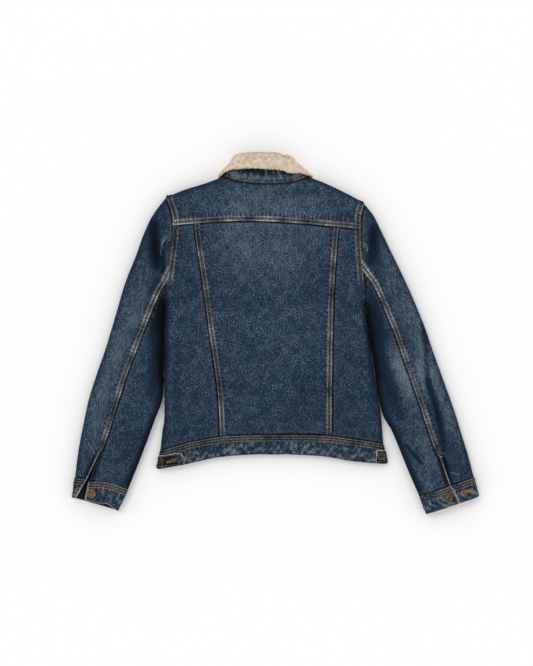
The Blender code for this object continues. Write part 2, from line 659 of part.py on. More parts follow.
class Sleeve:
    """One sleeve with its cuff, flattened, with the slit on its upper side."""

    def __init__(self, outline, denim, collection):
        self.outline, self.denim, self.collection = outline, denim, collection
        self.name = outline.side.name
        outline.outer[0], outline.inner[0] = outline.armhole[0], outline.armhole[-1]
        outline.upper[0] = outline.under[0] = outline.armhole[SLEEVE_SEAM_NODE]

    def lift(self, grid, high, **options):
        """The outer face of a piece of the sleeve over these plan points."""
        return sheet(grid, self.outline.sleeve_folds(), high, 0.0, **options)

    def build_sleeve(self):
        """The upper sleeve, which wraps the outer fold and the underside, and the under sleeve."""
        lines = self.outline
        down = smooth(np.linspace(0, 1, len(lines.outer)))[:, None]
        high = BODY_LOFT + (CUFF_LOFT - BODY_LOFT) * down
        head, rest = lines.armhole[: SLEEVE_SEAM_NODE + 1], lines.armhole[SLEEVE_SEAM_NODE:]
        pieces = []
        for left, right, top, rolls, plain, apart, under in (
            (lines.outer, lines.upper, head, (True, False), 3, ("last_column",), False),
            (lines.outer, lines.inner, lines.armhole, (True, True), 6, (), True),
            (lines.under, lines.inner, rest, (False, True), 3, ("first_column",), False),
        ):
            places = columns(left, right, *rolls, plain, shares_of(top))
            grid = patch(left, right, top, straight(left[-1], right[-1], places[-1]), places)
            apart = ("first_row", "last_row") + apart
            pieces.append(self.lift(grid, high, under=under, apart=apart))
        over, below, under_sleeve = pieces
        upper_sleeve = joined(turned(over), below)
        for half, one in zip(("high", "low"), divided(upper_sleeve, ELBOW_ROW)):
            add_cloth(f"sleeve_{self.name}_upper_{half}", one, self.denim, self.collection)
        add_cloth(f"sleeve_{self.name}_under", under_sleeve, self.denim, self.collection)

    def build_cuff(self):
        """The cuff: one band from the outer edge of the slit round the underside to its inner edge."""
        cuff = self.outline.side.cuff
        outer, upper, under, inner = (
            straight(*line, HALVES) for line in (cuff.outer, cuff.upper, cuff.under, cuff.inner)
        )
        pieces = []
        for left, right, rolls, plain, apart, low_side, bow in (
            (outer, upper, (True, False), 2, ("last_column",), False, 0),
            (outer, inner, (True, True), 5, (), True, 0),
            (under, inner, (False, True), 3, ("first_column",), False, cuff.bow),
        ):
            places = columns(left, right, *rolls, plain)
            bottom = straight(left[-1], right[-1], places[-1])
            bottom[:, 1] += bow * np.sin(math.pi * places[-1])
            grid = patch(left, right, straight(left[0], right[0], places[0]), bottom, places)
            apart = ("first_row",) + apart
            pieces.append(self.lift(grid, CUFF_LOFT, under=low_side, apart=apart, proud=BAND_RAISE))
        ring = joined(turned(pieces[0]), pieces[1], turned(pieces[2]))
        add_cloth(f"cuff_{self.name}", ring, self.denim, self.collection)

    def add_cuff_button(self, material):
        """The tack button on the inner part of the cuff."""
        cuff = self.outline.side.cuff
        one = self.lift(np.array([[cuff.button]], float), CUFF_LOFT, proud=BAND_RAISE)
        name = f"cuff_button_{self.name}"
        add_button(name, one.points[0, 0], one.normals[0, 0], cuff.button_radius, material, self.collection)


# How the collar stands up from the neck seam and turns over, by the distance from the shoulder
# along the neck: `in` is towards the middle, `up` is +Y, and angle is how far it faces up or down.
CollarRow = namedtuple("CollarRow", "reach angle stand_in stand_up fall_in fall_up")
COLLAR_BACK = [
    CollarRow(0, 0, 20, 30, -21, -27),
    CollarRow(2.4, 30, 18, 33, -13, -22),
    CollarRow(9, 60, 15, 36, -8, -18),
    CollarRow(18, 90, 12, 40, -5, -16),
    CollarRow(45, 90, 5, 45, -2, -16),
    CollarRow(80, 90, 0, 47, 0, -16),
]
COLLAR_FRONT = [
    CollarRow(0, 0, 20, 30, -21, -27),
    CollarRow(2.4, -30, 17, 28, -18, -23),
    CollarRow(9, -60, 15, 26, -30, -26),
    CollarRow(18, -90, 13, 22, -40, -33),
    CollarRow(47, -90, 10, 13, -50, -28),
    CollarRow(76, -90, 8, 10, -56, -47),
    CollarRow(105, -90, 2, 9, -52, -69),
]
FALL_WIDENS = 6.0  # the fall is this much wider at the wearer's right
ARC = np.radians([-45, 0, 45])  # where the turned edge has its points


class Collar:
    """The fold-over collar: a denim under collar and a sherpa top collar in one piece with the stand."""

    def __init__(self, body, collection):
        self.collection = collection
        self.stations = []
        half = len(body.neck) // 2
        fronts = {outline.side.sign: outline.front_neck for outline in (body.left, body.right)}
        self.add_stations(body, fronts[1][:0:-1], COLLAR_FRONT, 1, under=True)
        self.add_stations(body, body.neck[:half:-1], COLLAR_BACK, 1)
        self.add_stations(body, body.neck[half::-1], COLLAR_BACK, -1)
        self.add_stations(body, fronts[-1][1:], COLLAR_FRONT, -1, under=True)

    def add_stations(self, body, nodes, table, sign, under=False):
        """Seam point, stand, fall and outward direction at each of these points of the neck seam."""
        reach = lengths(body.neck)[-1]
        table = np.array(table)
        points = body.lift(nodes[None], under=under).points[0]
        for node, point in zip(nodes, points):
            at = self.from_shoulder(body, node, sign, under)
            row = [np.interp(at, table[:, 0], column) for column in table[:, 1:].T]
            angle, stand_in, stand_up, fall_in, fall_up = row
            turn = math.radians(angle)
            across = 0 if under else np.linalg.norm(node - body.neck[0]) / reach
            fall_up = fall_up - FALL_WIDENS * across * math.sin(turn) ** 2
            outward = np.array([sign * math.cos(turn), 0, math.sin(turn)])
            stand = np.array([-sign * stand_in, stand_up, 0])
            fall = np.array([-sign * fall_in, fall_up, 0])
            self.stations.append((point, stand, fall, outward))

    @staticmethod
    def from_shoulder(body, node, sign, under):
        """The distance of a neck point from its shoulder, along the neck."""
        if under:
            line = (body.left if sign < 0 else body.right).front_neck
        else:
            line = body.neck if sign < 0 else body.neck[::-1]
        return lengths(line)[np.argmin(np.linalg.norm(line - node, axis=1))]

    def face(self, offset, overhang):
        """The grid of the face that lies this far behind the outer face of the stand."""
        rows = []
        for point, stand, fall, outward in self.stations:
            length = np.linalg.norm(stand)
            square = stand - (stand @ outward) * outward
            square = square / np.linalg.norm(square)
            top = point + stand
            radius = FOLD_AIR / 2 + offset
            row = [point + stand * share - outward * offset for share in (SEAM_GAP / length, 0.5, 1)]
            for angle in ARC:
                out = FOLD_AIR / 2 + radius * math.sin(angle)
                row.append(top + outward * out + square * radius * math.cos(angle))
            shares = [0, 0.5, 1] + [1 + overhang / np.linalg.norm(fall)] * (overhang > 0)
            row += [top + fall * share + outward * (FOLD_AIR + offset) for share in shares]
            rows.append(row)
        return np.array(rows)

    def build(self, denim, sherpa):
        """The two layers of the collar."""
        inner = DENIM + LAYER_GAP
        add_wall("collar_under", self.face(0, 0), self.face(DENIM, 0), denim, self.collection)
        layer = self.face(inner, SHERPA_OVERHANG), self.face(inner + PILE, SHERPA_OVERHANG)
        add_wall("collar_sherpa", *layer, sherpa, self.collection)


# An adjuster tab on the hem band: its upper and lower edge from the flank to the tip
Tab = namedtuple("Tab", "upper_start upper_end tip lower_end lower_start")
TABS = {
    "left": Tab((-221, -233.5), (-180, -227), (-172.5, -238), (-173, -250), (-223.6, -257)),
    "right": Tab((206.5, -223), (192, -221.5), (191, -235), (190, -246.5), (210.7, -247.5)),
}
HEM_BUTTONS = {
    "left": (((-183, -239), BUTTON_RADIUS - 1, True), ((-160, -231), SMALL_BUTTON_RADIUS, False)),
    "right": (((200.5, -234), BUTTON_RADIUS - 1, True), ((174, -232), SMALL_BUTTON_RADIUS, False)),
}


def build_tabs(body, denim, dark_metal, collection):
    """The adjuster tabs, each from its band's points moved out, and their buttons."""
    for name, tab in TABS.items():
        left = straight(tab.upper_start, tab.lower_start, HALVES)
        right = np.array([tab.upper_end, tab.tip, tab.lower_end], float)
        places = columns(left, right, True, False, 2)
        top = straight(tab.upper_start, tab.upper_end, places[0])
        bottom = straight(tab.lower_start, tab.lower_end, places[-1])
        base = body.lift(patch(left, right, top, bottom, places), proud=BAND_RAISE)
        inner = base.points + base.normals * SEAM_GAP
        add_wall("hem_tab_" + name, inner + base.normals * TAB_WALL, inner, denim, collection)
        for number, (place, radius, on_tab) in enumerate(HEM_BUTTONS[name], 1):
            point, facing = body.spot(*place, proud=BAND_RAISE)
            point = point + facing * (SEAM_GAP + TAB_WALL if on_tab else 0)
            add_button(f"hem_button_{name}_{number}", point, facing, radius, dark_metal, collection)


def build_front_buttons(body, brass, collection):
    """The fastened buttons, whose heads are under the outer placket."""
    for number in range(FRONT_BUTTONS):
        stand = body.placket[2 * number : 2 * number + 2]
        facing = np.cross(stand[0, 1] - stand[1, 1], stand[0, 2] - stand[0, 0])
        facing = facing / np.linalg.norm(facing)
        place = stand[:, 1].mean(axis=0)
        add_button(f"front_button_{number + 1}", place, facing, BUTTON_RADIUS, brass, collection)


def main():
    """Build the jacket in a collection of its own."""
    for thing in list(bpy.data.objects):
        bpy.data.objects.remove(thing)
    collection = bpy.data.collections.new("sherpa_lined_jacket")
    bpy.context.scene.collection.children.link(collection)
    denim = finish_material("indigo denim", (0.031, 0.066, 0.117), 0.9)
    sherpa = finish_material("cream sherpa", (0.66, 0.52, 0.36), 1.0)
    brass = finish_material("aged brass", (0.25, 0.13, 0.04), 0.4, 1.0)
    dark_metal = finish_material("dark metal", (0.05, 0.05, 0.055), 0.45, 1.0)
    left, right = Outline(LEFT), Outline(RIGHT)
    for outline in (left, right):
        sleeve = Sleeve(outline, denim, collection)
        sleeve.build_sleeve()
        sleeve.build_cuff()
        sleeve.add_cuff_button(brass)
    body = Body(left, right, denim, collection)
    body.build_yoke()
    body.build_back()
    body.build_fronts()
    body.build_plackets()
    Collar(body, collection).build(denim, sherpa)
    build_tabs(body, denim, dark_metal, collection)
    build_front_buttons(body, brass, collection)


main()
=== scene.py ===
"""Looks of a sherpa lined denim jacket that lies flat on its front, with its back up.

X runs from the wearer's left sleeve to the right one, Y from the hem to the collar and Z up from
the surface. Sizes are millimetres until a mesh is made, where MM turns them into metres.

Every panel is a grid of points over the table between its seam lines. One rule lifts it: the cloth
lies level and turns down at a fold in a quarter of an ellipse. Seam bands, stitch grooves, puckers
and creases are then added along the cloth's own normal.
"""

import logging
import math
from dataclasses import dataclass, field
from enum import Enum
from typing import Iterable, Sequence

import bpy
import numpy as np
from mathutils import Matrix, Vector

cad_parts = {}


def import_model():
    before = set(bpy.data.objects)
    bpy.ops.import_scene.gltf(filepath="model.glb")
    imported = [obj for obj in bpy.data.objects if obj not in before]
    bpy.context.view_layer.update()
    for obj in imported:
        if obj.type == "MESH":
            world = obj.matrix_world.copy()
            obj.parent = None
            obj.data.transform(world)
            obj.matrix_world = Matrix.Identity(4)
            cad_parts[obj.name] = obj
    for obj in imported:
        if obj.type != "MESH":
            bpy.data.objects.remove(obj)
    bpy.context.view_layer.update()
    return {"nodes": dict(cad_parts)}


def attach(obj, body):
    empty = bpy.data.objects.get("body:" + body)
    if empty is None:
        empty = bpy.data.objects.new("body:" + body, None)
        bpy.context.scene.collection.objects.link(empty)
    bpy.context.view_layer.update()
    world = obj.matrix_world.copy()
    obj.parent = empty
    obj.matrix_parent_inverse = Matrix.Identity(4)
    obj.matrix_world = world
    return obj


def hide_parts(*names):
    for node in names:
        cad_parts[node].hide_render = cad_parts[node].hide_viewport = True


log = logging.getLogger("jacket")
Array = np.ndarray
MM = 0.001

# The lay of the cloth, as in the solids
FOLD_RADIUS = 18.0
BODY_LOFT, NECK_LOFT, HEM_LOFT, CUFF_LOFT = 26.0, 30.0, 16.0, 24.0
HEM_SETTLES = (-110.0, -200.0)  # Y where the body starts to sink and where it has sunk to the hem
NECK_CENTRE = (-19.0, 262.0)
NECK_SWELL = (70.0, 150.0)
FALL_SPREAD = (132.0, 182.0)
FALL_LIFT = 9.4
PLACKET_LIFT, PLACKET_EASE, PLACKET_WIDTH = 3.6, (24.0, 48.0), 38.0
CENTRE_TOP, CENTRE_BOTTOM = (-19.0, 218.0), (-9.0, -231.0)
FRONT_SEAM_Y = -197.0  # where the band is sewn to the fronts at the closing
PLACKET_LAP, PLACKET_AIR = 8.0, 1.0
SEAM_GAP = 0.3
SLEEVE_CLEAR = 1.2
DENIM_THICK = 1.3
LAP = 5.0  # the upper cloth of a seam reaches this far past the seam's middle
TUCK = 4.0  # and the lower cloth this far under it
BAND_THICK = 2.4  # two layers of the denim
TINY = 1e-9


class Facing(Enum):
    """Which way the outer face of a piece looks."""

    UP = 1
    DOWN = -1


class Edge(Enum):
    """One edge of a grid, by its first or last row or column."""

    TOP = "first row"
    BOTTOM = "last row"
    LEFT = "first column"
    RIGHT = "last column"


# --- lines and grids


def smooth(share: Array) -> Array:
    """A ramp from 0 to 1 that starts and ends level."""
    share = np.clip(share, 0, 1)
    return share * share * (3 - 2 * share)


def near(distance: Array, width: float) -> Array:
    """1 at a distance of 0, easing to 0 at this width on both sides."""
    return smooth(1 - np.abs(distance) / width)


def bell(distance: Array, width: float) -> Array:
    """1 at a distance of 0, with soft tails that fall to a third at this width."""
    return np.exp(-((distance / width) ** 2))


def quarter(share: Array) -> Array:
    """A quarter of a circle: steep from 0 at a share of 0, and level at 1 from a share of 1 on."""
    return np.sqrt(1 - (1 - np.clip(share, 0, 1)) ** 2)


def unit(vectors: Array) -> Array:
    """The vectors at a length of 1."""
    return vectors / np.maximum(np.linalg.norm(vectors, axis=-1), TINY)[..., None]


def curve(points: Sequence, steps: int) -> Array:
    """A smooth line through points, by the cubic that leaves each point towards the next but one.

    Args:
        points: Points of the line, each with the same number of coordinates.
        steps: How many straight steps lie between two points.

    Returns:
        The points of the line.
    """
    knots = np.array(points, float)
    knots = np.vstack([2 * knots[0] - knots[1], knots, 2 * knots[-1] - knots[-2]])
    before, start, end, after = (knots[k : len(knots) - 3 + k, None] for k in range(4))
    t = (np.arange(steps) / steps)[:, None]
    ease = t * t * (3 - 2 * t)
    line = start * (1 - ease) + end * ease
    line = line + (end - before) / 2 * (t - 2 * t**2 + t**3) + (after - start) / 2 * (t**3 - t**2)
    return np.vstack([line.reshape(-1, knots.shape[1]), knots[-2]])


def lengths(points: Array) -> Array:
    """The distance along a line, or down each column of a grid, to each of its points."""
    steps = np.linalg.norm(np.diff(points, axis=0), axis=-1)
    return np.concatenate([np.zeros_like(steps[:1]), np.cumsum(steps, axis=0)])


def along(line: Array, distances: Array) -> Array:
    """The points at these distances along a line."""
    marks = lengths(line)
    return np.stack([np.interp(distances, marks, line[:, k]) for k in range(line.shape[1])], axis=-1)


def at_shares(line: Array, shares: Array) -> Array:
    """The points at these shares, 0 to 1, of a line's length."""
    return along(line, np.asarray(shares) * lengths(line)[-1])


def cut(line: Array, start: Sequence, end: Sequence) -> Array:
    """A stretch of a line.

    Args:
        line: The line.
        start: The stretch begins at the line's nearest point to this one,
        end: and ends at the one nearest to this.

    Returns:
        Its points, close together.
    """
    dense = at_shares(line, np.linspace(0, 1, 1201))
    first, last = (int(np.argmin(np.linalg.norm(dense - np.array(p, float), axis=1))) for p in (start, end))
    return dense[first : last + 1]


def offset(line: Array, distance: Array | float) -> Array:
    """A plan line moved to its right-hand side, by one distance or by one for each point."""
    tangent = unit(np.gradient(line, axis=0))
    square = np.stack([tangent[:, 1], -tangent[:, 0]], axis=1)
    return line + square * np.broadcast_to(distance, len(line))[:, None]


def noise(x: Array, y: Array, size: float, seed: int) -> Array:
    """Smooth noise from -1 to 1: random values on a square lattice, eased from one to the next.

    Args:
        x: First coordinate, in millimetres.
        y: Second coordinate, in millimetres.
        size: Side of a lattice square, in millimetres.
        seed: Which random values are used. Every pattern of the jacket has its own.

    Returns:
        The noise at each point.
    """
    side = 61
    lattice = np.random.default_rng(seed).uniform(-1, 1, (side, side))
    across, up = np.asarray(x) / size, np.asarray(y) / size
    column, row = np.floor(across).astype(int), np.floor(up).astype(int)
    ease_x, ease_y = smooth(across - column), smooth(up - row)
    left, right = column % side, (column + 1) % side
    low, high = (
        lattice[r % side, left] * (1 - ease_x) + lattice[r % side, right] * ease_x for r in (row, row + 1)
    )
    return low * (1 - ease_y) + high * ease_y


def nearest(plan: Array, line: Array, limit: float) -> Array:
    """The distance from plan points to a line, or the limit where it is further.

    Args:
        plan: Plan points, with x and y on the last axis.
        line: Points of the line.
        limit: The largest distance that matters.

    Returns:
        The least distance to any of the line's straight steps.
    """
    best = np.full(plan.shape[:-1], limit)
    for start, end in zip(line, line[1:]):
        low, high = np.minimum(start, end) - limit, np.maximum(start, end) + limit
        close = np.all((plan > low) & (plan < high), axis=-1)
        if not close.any():
            continue
        span, step = end - start, plan[close] - start
        share = np.clip(step @ span / max(span @ span, TINY), 0, 1)
        distance = np.linalg.norm(step - share[:, None] * span, axis=1)
        best[close] = np.minimum(best[close], distance)
    return best


def turn_to(values: Array, edge: Edge) -> Array:
    """The grid turned so that this edge is its first column."""
    if edge is Edge.LEFT:
        return values
    if edge is Edge.RIGHT:
        return values[:, ::-1]
    if edge is Edge.TOP:
        return np.swapaxes(values, 0, 1)
    return np.swapaxes(values[::-1], 0, 1)


def turn_back(values: Array, edge: Edge) -> Array:
    """The inverse of turn_to."""
    if edge is Edge.BOTTOM:
        return np.swapaxes(values, 0, 1)[::-1]
    return turn_to(values, edge)


def reach(plan: Array, edge: Edge, run_on: float = 10.0) -> tuple[Array, Array]:
    """Where each grid point lies beside an edge.

    Args:
        plan: The grid in plan.
        edge: The edge.
        run_on: A point further past the end of its own row than this counts as that much further away.

    Returns:
        How far each point is from the edge, square to it, and how far along the edge it lies.
    """
    grid = turn_to(plan, edge)
    line = grid[:, 0]
    tangent = unit(np.gradient(line, axis=0))[:, None]
    step = grid - line[:, None]
    square = tangent[..., 0] * step[..., 1] - tangent[..., 1] * step[..., 0]
    ahead = np.sum(tangent * step, axis=2)
    distance = np.hypot(square, np.maximum(np.abs(ahead) - run_on, 0))
    return turn_back(distance, edge), turn_back(lengths(line)[:, None] + ahead, edge)


def patch(left: Array, right: Array, top: Array, bottom: Array, down: Array, across: Array) -> Array:
    """Plan points between four edges: straight rows, plus the bow of top and bottom faded across.

    Args:
        left: The left edge, a point for each row.
        right: The right edge, a point for each row.
        top: Points of the top edge, at any spacing.
        bottom: Points of the bottom edge, at any spacing.
        down: How far down each row lies, 0 to 1.
        across: Where the columns cross each row, 0 to 1.

    Returns:
        A grid of rows by columns by x and y.
    """
    grid = left[:, None] * (1 - across[..., None]) + right[:, None] * across[..., None]
    for line, weight in ((top, 1 - down), (bottom, down)):
        ends = line[0] + across[..., None] * (line[-1] - line[0])
        grid += weight[:, None, None] * (at_shares(line, across.ravel()).reshape(grid.shape) - ends)
    return grid


def extended(plan: Array, edge: Edge, distance: float) -> Array:
    """The grid with two rows or columns added beyond one edge, straight on from it.

    Args:
        plan: The grid in plan.
        edge: The edge.
        distance: How far the new outermost points lie beyond it.

    Returns:
        The larger grid.
    """
    grid = turn_to(plan, edge)
    ahead = unit(grid[:, 0] - grid[:, 1])[:, None]
    more = grid[:, None, 0] + ahead * (distance * np.array([1.0, 0.5]))[:, None]
    return turn_back(np.concatenate([more, grid], axis=1), edge)


def spaced(width: float, step: float, start: Sequence = (0.0,), end: Sequence = (0.0,)) -> Array:
    """Places from 0 to a width.

    Args:
        width: The last place.
        step: The largest spacing between the two sets, about.
        start: The first places.
        end: Distances of the last places from the width.

    Returns:
        The places, with even steps between the two sets.
    """
    start, end = np.asarray(start, float), width - np.asarray(end, float)[::-1]
    count = max(2, round((end[0] - start[-1]) / step) + 1)
    return np.concatenate([start, np.linspace(start[-1], end[0], count)[1:-1], end])


# Distances of a panel's first columns or rows from its edge: round a fold, at a topstitched lap, at
# a lap that lies hidden, along a hem, and where a panel tucks under another
ROLL = FOLD_RADIUS * (1 - np.cos(np.linspace(0, math.pi / 2, 11)))
LAPPED = (0, 0.25, 0.6, 1.1, 1.6, 2.2, 3.2, 4.6, 6.2, 7.6, 8.4, 9.2, 10.2, 11.4, 12.8, 14.6)
PLAIN = (0, 1.5)
HEMMED = (0, 0.4, 1.0, 1.8, 3.0)
TUCKED = (0, 2.5, 5, 6, 7, 8.5)


def columns(widths: Array, step: float, start: Sequence, end: Sequence) -> Array:
    """Where the columns cross each row, 0 to 1, keeping the start and end distances on every row.

    Args:
        widths: The length of each row in millimetres.
        step: The spacing between the two sets.
        start: Distances of the first columns from the left edge.
        end: Distances of the last columns from the right edge.

    Returns:
        Rows by columns of shares.
    """
    room = (start[-1] + end[-1]) / 0.9
    fits = np.minimum(1, widths / room)[:, None]
    count = max(3, round((np.median(widths) - start[-1] - end[-1]) / step) + 1)
    first = np.asarray(start, float) * fits
    last = widths[:, None] - np.asarray(end, float)[::-1] * fits
    middle = first[:, -1:] + np.linspace(0, 1, count)[None, 1:-1] * (last[:, :1] - first[:, -1:])
    return np.hstack([first, middle, last]) / widths[:, None]


# --- the cut


@dataclass(frozen=True)
class Crease:
    """A soft trough, or with a negative depth a ridge, along a straight stretch of the cloth."""

    x0: float
    y0: float
    x1: float
    y1: float
    reach: float
    depth: float
    shade: float = 0.0
    rub: float = 0.0

    def hill(self, x: Array, y: Array) -> Array:
        """1 along the stretch and 0 past its reach, easing between them.

        Args:
            x: Plan places.
            y: Plan places.

        Returns:
            The height of the hill at each.
        """
        span = np.array([self.x1 - self.x0, self.y1 - self.y0])
        ahead, up = x - self.x0, y - self.y0
        share = np.clip((ahead * span[0] + up * span[1]) / (span @ span), 0, 1)
        return near(np.hypot(ahead - share * span[0], up - share * span[1]), self.reach)


# Both ends, the reach, the depth, the shade and the rub
# Shade: painted shade in troughs; positive, the whiskers' fade and a painted highlight on ridges
CREASES = tuple(Crease(*row) for row in (
    (-230, 206, -223, 128, 15, 5.5, -1.7), (-214, 146, -211, 112, 7, 2.2, -1.8),
    (-197, 191, -217, 169, 3.0, -0.7, 0.6, 0.25), (-198, 183, -216, 161, 3.0, 0.9, -1.6),
    (-200, 171, -213, 152, 3.5, 1.0, -2.2), (186, 196, 181, 138, 15, 4.5, -1.5),
    (166, 171, 175, 160, 3.0, -0.7, 0.5, 0.2), (166, 163, 170, 152, 2.6, 0.8, -2.0),
    (178, 152, 176, 128, 6, 1.6, -1.2), (-330, -60, -268, -8, 16, 2.5, 0.1),
    (-318, -10, -262, 30, 14, 2.0, 0.1), (300, -20, 245, 20, 16, 2.5, 0.0),
    (322, -78, 262, -40, 14, 2.0, 0.0), (2, 262, 80, 268, 12, 1.8, -0.35), (12, 264, 40, 259, 7, 0.9, -0.3),
    (-204, 62, -172, 67, 8, 1.6, -0.3), (-206, 84, -180, 88, 6, 0.8, -0.2),
    (282, 20, 288, -89, 9, 2.2, -1.1), (288, -89, 304, -138, 10, 2.4, -1.9),
    (304, -138, 310, -164, 9, 2.4, -1.9), (310, -164, 318, -204, 8, 2.0, -1.3),
    (318, -204, 321, -242, 7, 1.6, -1.0), (321, -242, 330, -266, 7, 1.6, -1.4),
    (330, -264, 348, -268, 2, -0.5, 0.4, 0.4), (246, -212, 277, -247, 5, 1.2, -1.2),
    (-345, -205, -338, -222, 3, -0.7, 0.4, 0.2), (-352, -212, -342, -228, 3, -0.7, 0.4, 0.2),
    (-196, 232, -60, 250, 40, -1.2, 0.0), (60, 240, 150, 228, 40, -1.2, 0.0),
))


@dataclass(frozen=True)
class Tone:
    """A soft patch of the cloth that the wash left lighter, or with a negative strength painted shade."""

    x: float
    y: float
    long: float
    short: float
    turn: float
    strength: float

    def at(self, x: Array, y: Array) -> Array:
        """The patch's share of the tone: all in its middle and none outside its ellipse.

        Args:
            x: Plan places.
            y: Plan places.

        Returns:
            The tone that it adds at each.
        """
        cos, sin = math.cos(math.radians(self.turn)), math.sin(math.radians(self.turn))
        dx, dy = x - self.x, y - self.y
        u, v = (dx * cos + dy * sin) / self.long, (dy * cos - dx * sin) / self.short
        return self.strength * near(np.hypot(u, v), 1)


# The middle, half the length and the width, the turn in degrees and the strength
# The strong dark patches beside the body, at the armholes and along the body's sides are painted shade
TONES = tuple(Tone(*row) for row in (
    (-20, 170, 210, 120, 0, 0.5), (-10, 252, 230, 80, 0, 0.6), (-20, 20, 230, 150, 0, 0.15),
    (246, -82, 96, 34, -65, 1.25), (279, -88, 80, 16, -70, 0.8), (332, -170, 90, 24, -68, 0.5),
    (275, -190, 90, 26, -68, 0.5), (290, -70, 90, 26, -70, 0.6), (288, -255, 110, 50, -68, 0.4),
    (-318, -262, 60, 40, 70, 0.2), (-285, 10, 300, 60, 66, 0.45), (275, 10, 300, 55, -66, 0.65),
    (-330, -160, 160, 60, 70, 0.3), (-302, -60, 120, 30, 68, 0.15), (-268, 20, 80, 22, 65, 0.15),
    (-222, 30, 120, 26, 88, -2.5), (-222, -70, 80, 24, 80, -1.6), (190, 5, 110, 26, -82, -1.7),
    (212, -95, 90, 26, -70, -1.1), (-232, 160, 60, 18, 85, -1.0), (190, 165, 60, 14, -80, -0.8),
    (-300, 90, 120, 30, 70, -0.15), (262, 110, 120, 24, -66, -0.25), (-186, -100, 120, 14, 90, -0.35),
    (182, -60, 150, 12, -86, -0.30),
))


@dataclass(frozen=True)
class Cuff:
    """A cuff's corners at the sleeve and at the hand, and the bow of its free edge."""

    outer: tuple
    upper: tuple
    under: tuple
    inner: tuple
    button: tuple
    button_radius: float
    bow: float


@dataclass(frozen=True)
class Side:
    """The seam lines of one side. A section runs across the sleeve: outer fold, upper sleeve at
    the back seam, under sleeve at the back seam, inner fold."""

    name: str
    sign: int
    shoulder: tuple
    armhole: tuple
    flank: tuple
    hem_corner: tuple
    back_seam: tuple
    front_neck: tuple
    yoke_reach: float
    seam_reach: float
    sections: tuple
    slit_section: float
    cuff: Cuff


LEFT = Side(
    name="left",
    sign=-1,
    shoulder=((-207.5, 258), (-172, 272), (-134, 283.5), (-98, 297)),
    armhole=(
        (-207.5, 258), (-197, 229), (-194, 209), (-195, 181), (-199, 146.5), (-203, 116), (-208, 77),
        (-210, 59),
    ),
    flank=((-210, 59), (-211.5, -18), (-211, -89), (-211, -158.5), (-215, -188), (-219, -225.5)),
    hem_corner=(-224, -259),
    back_seam=((-148, 212.8), (-146, 181), (-132, 90), (-123, 21), (-105, -106), (-100, -198)),
    front_neck=((-98, 297), (-92, 262), (-72, 234), (-38, 218)),
    yoke_reach=209.0,
    seam_reach=135.0,
    sections=(
        (-207.5, 258, -203, 119, -203, 119, -210, 59), (-244.5, 200, -208.5, 105, -208.5, 105, -211, 42),
        (-265, 146.5, -224, 77, -224, 77, -212, 22), (-286, 93, -239, 43, -239, 43, -213, -8),
        (-306, 25, -254, 4, -254, 4, -213, -50), (-323, -31, -270.5, -38, -270.5, -38, -213, -95),
        (-338, -74, -287.5, -82, -287.5, -82, -216, -128), (-354, -124, -303, -131, -303, -131, -229, -163),
        (-364, -170, -317.5, -178, -317.5, -178, -245, -207),
        (-374, -222, -335, -228, -334, -228.5, -262, -251),
        (-381, -276, -358, -278, -352, -281, -281, -298),
    ),
    slit_section=9.0,
    cuff=Cuff(
        outer=((-381, -276), (-386, -313)),
        upper=((-358, -278), (-377.5, -312)),
        under=((-354, -283), (-361, -316)),
        inner=((-281, -298), (-300, -338)),
        button=(-348, -304),
        button_radius=8.5,
        bow=8.0,
    ),
)
RIGHT = Side(
    name="right",
    sign=1,
    shoulder=((168.5, 246), (145, 260), (92, 285), (60, 296)),
    armhole=(
        (168.5, 246), (161.8, 222), (161.5, 201.5), (161.8, 172), (163.4, 146.5), (165.5, 115.5),
        (169, 73), (170, 55),
    ),
    flank=((170, 55), (175, 12.5), (186.6, -68), (197.6, -135.5), (202, -172), (205, -212)),
    hem_corner=(211, -249),
    back_seam=((117, 206.5), (113, 181), (106.4, 90), (103.7, 21), (101.7, -106), (101.7, -196.5)),
    front_neck=((60, 296), (54, 262), (34, 234), (0, 218)),
    yoke_reach=201.5,
    seam_reach=128.0,
    sections=(
        (168.5, 246, 164.6, 128, 164.6, 128, 170, 55), (196, 203, 178, 110, 178, 110, 172, 40),
        (217, 160, 190, 93, 190, 93, 175, 20), (239, 115, 202, 68, 202, 68, 179, -6),
        (261, 67, 216, 35, 216, 35, 184, -38), (283, 13, 233, -7, 233, -7, 190, -76),
        (302, -42, 250, -55, 250, -55, 197, -122), (323, -100, 270, -112, 270, -112, 206, -158),
        (341, -151, 287, -162, 287, -162, 221, -184), (355, -197, 301, -204, 301, -204, 236, -219),
        (367, -236, 314, -241, 314, -241, 252, -259), (377, -275, 331, -291, 329.5, -291.8, 274.5, -311),
    ),
    slit_section=9.85,
    cuff=Cuff(
        outer=((377, -275), (386.3, -310.5)),
        upper=((331.5, -291), (348, -323)),
        under=((331, -291.5), (347.5, -323.5)),
        inner=((274.5, -311), (287, -344)),
        button=(328.5, -312),
        button_radius=7.5,
        bow=0.0,
    ),
)

YOKE_SEAM = (
    (-194, 209), (-148, 212.8), (-93, 216.4), (-26, 216.6), (34, 213.4), (117, 206.5), (162, 201.5),
)
BACK_NECK = ((-98, 297), (-66, 287.3), (-19, 283.2), (30, 285.6), (60, 296))
HEM_TOP = (
    (-219, -225.5), (-162, -209), (-100, -198), (-14, -195), (84, -196), (149, -203), (205, -212),
)
HEM_BOTTOM = (
    (-224, -259), (-172, -249.5), (-103, -235.4), (-14, -230), (84, -233.7), (149, -243.6), (211, -249),
)


def centre_x(y: Array) -> Array:
    """The line down the middle of the closed fronts."""
    share = (np.asarray(y) - CENTRE_BOTTOM[1]) / (CENTRE_TOP[1] - CENTRE_BOTTOM[1])
    return CENTRE_BOTTOM[0] + share * (CENTRE_TOP[0] - CENTRE_BOTTOM[0])


def neck_share(x: Array, y: Array, spread: tuple) -> Array:
    """1 close to the neck and 0 far from it."""
    close, far = spread
    return smooth((far - np.hypot(x - NECK_CENTRE[0], y - NECK_CENTRE[1])) / (far - close))


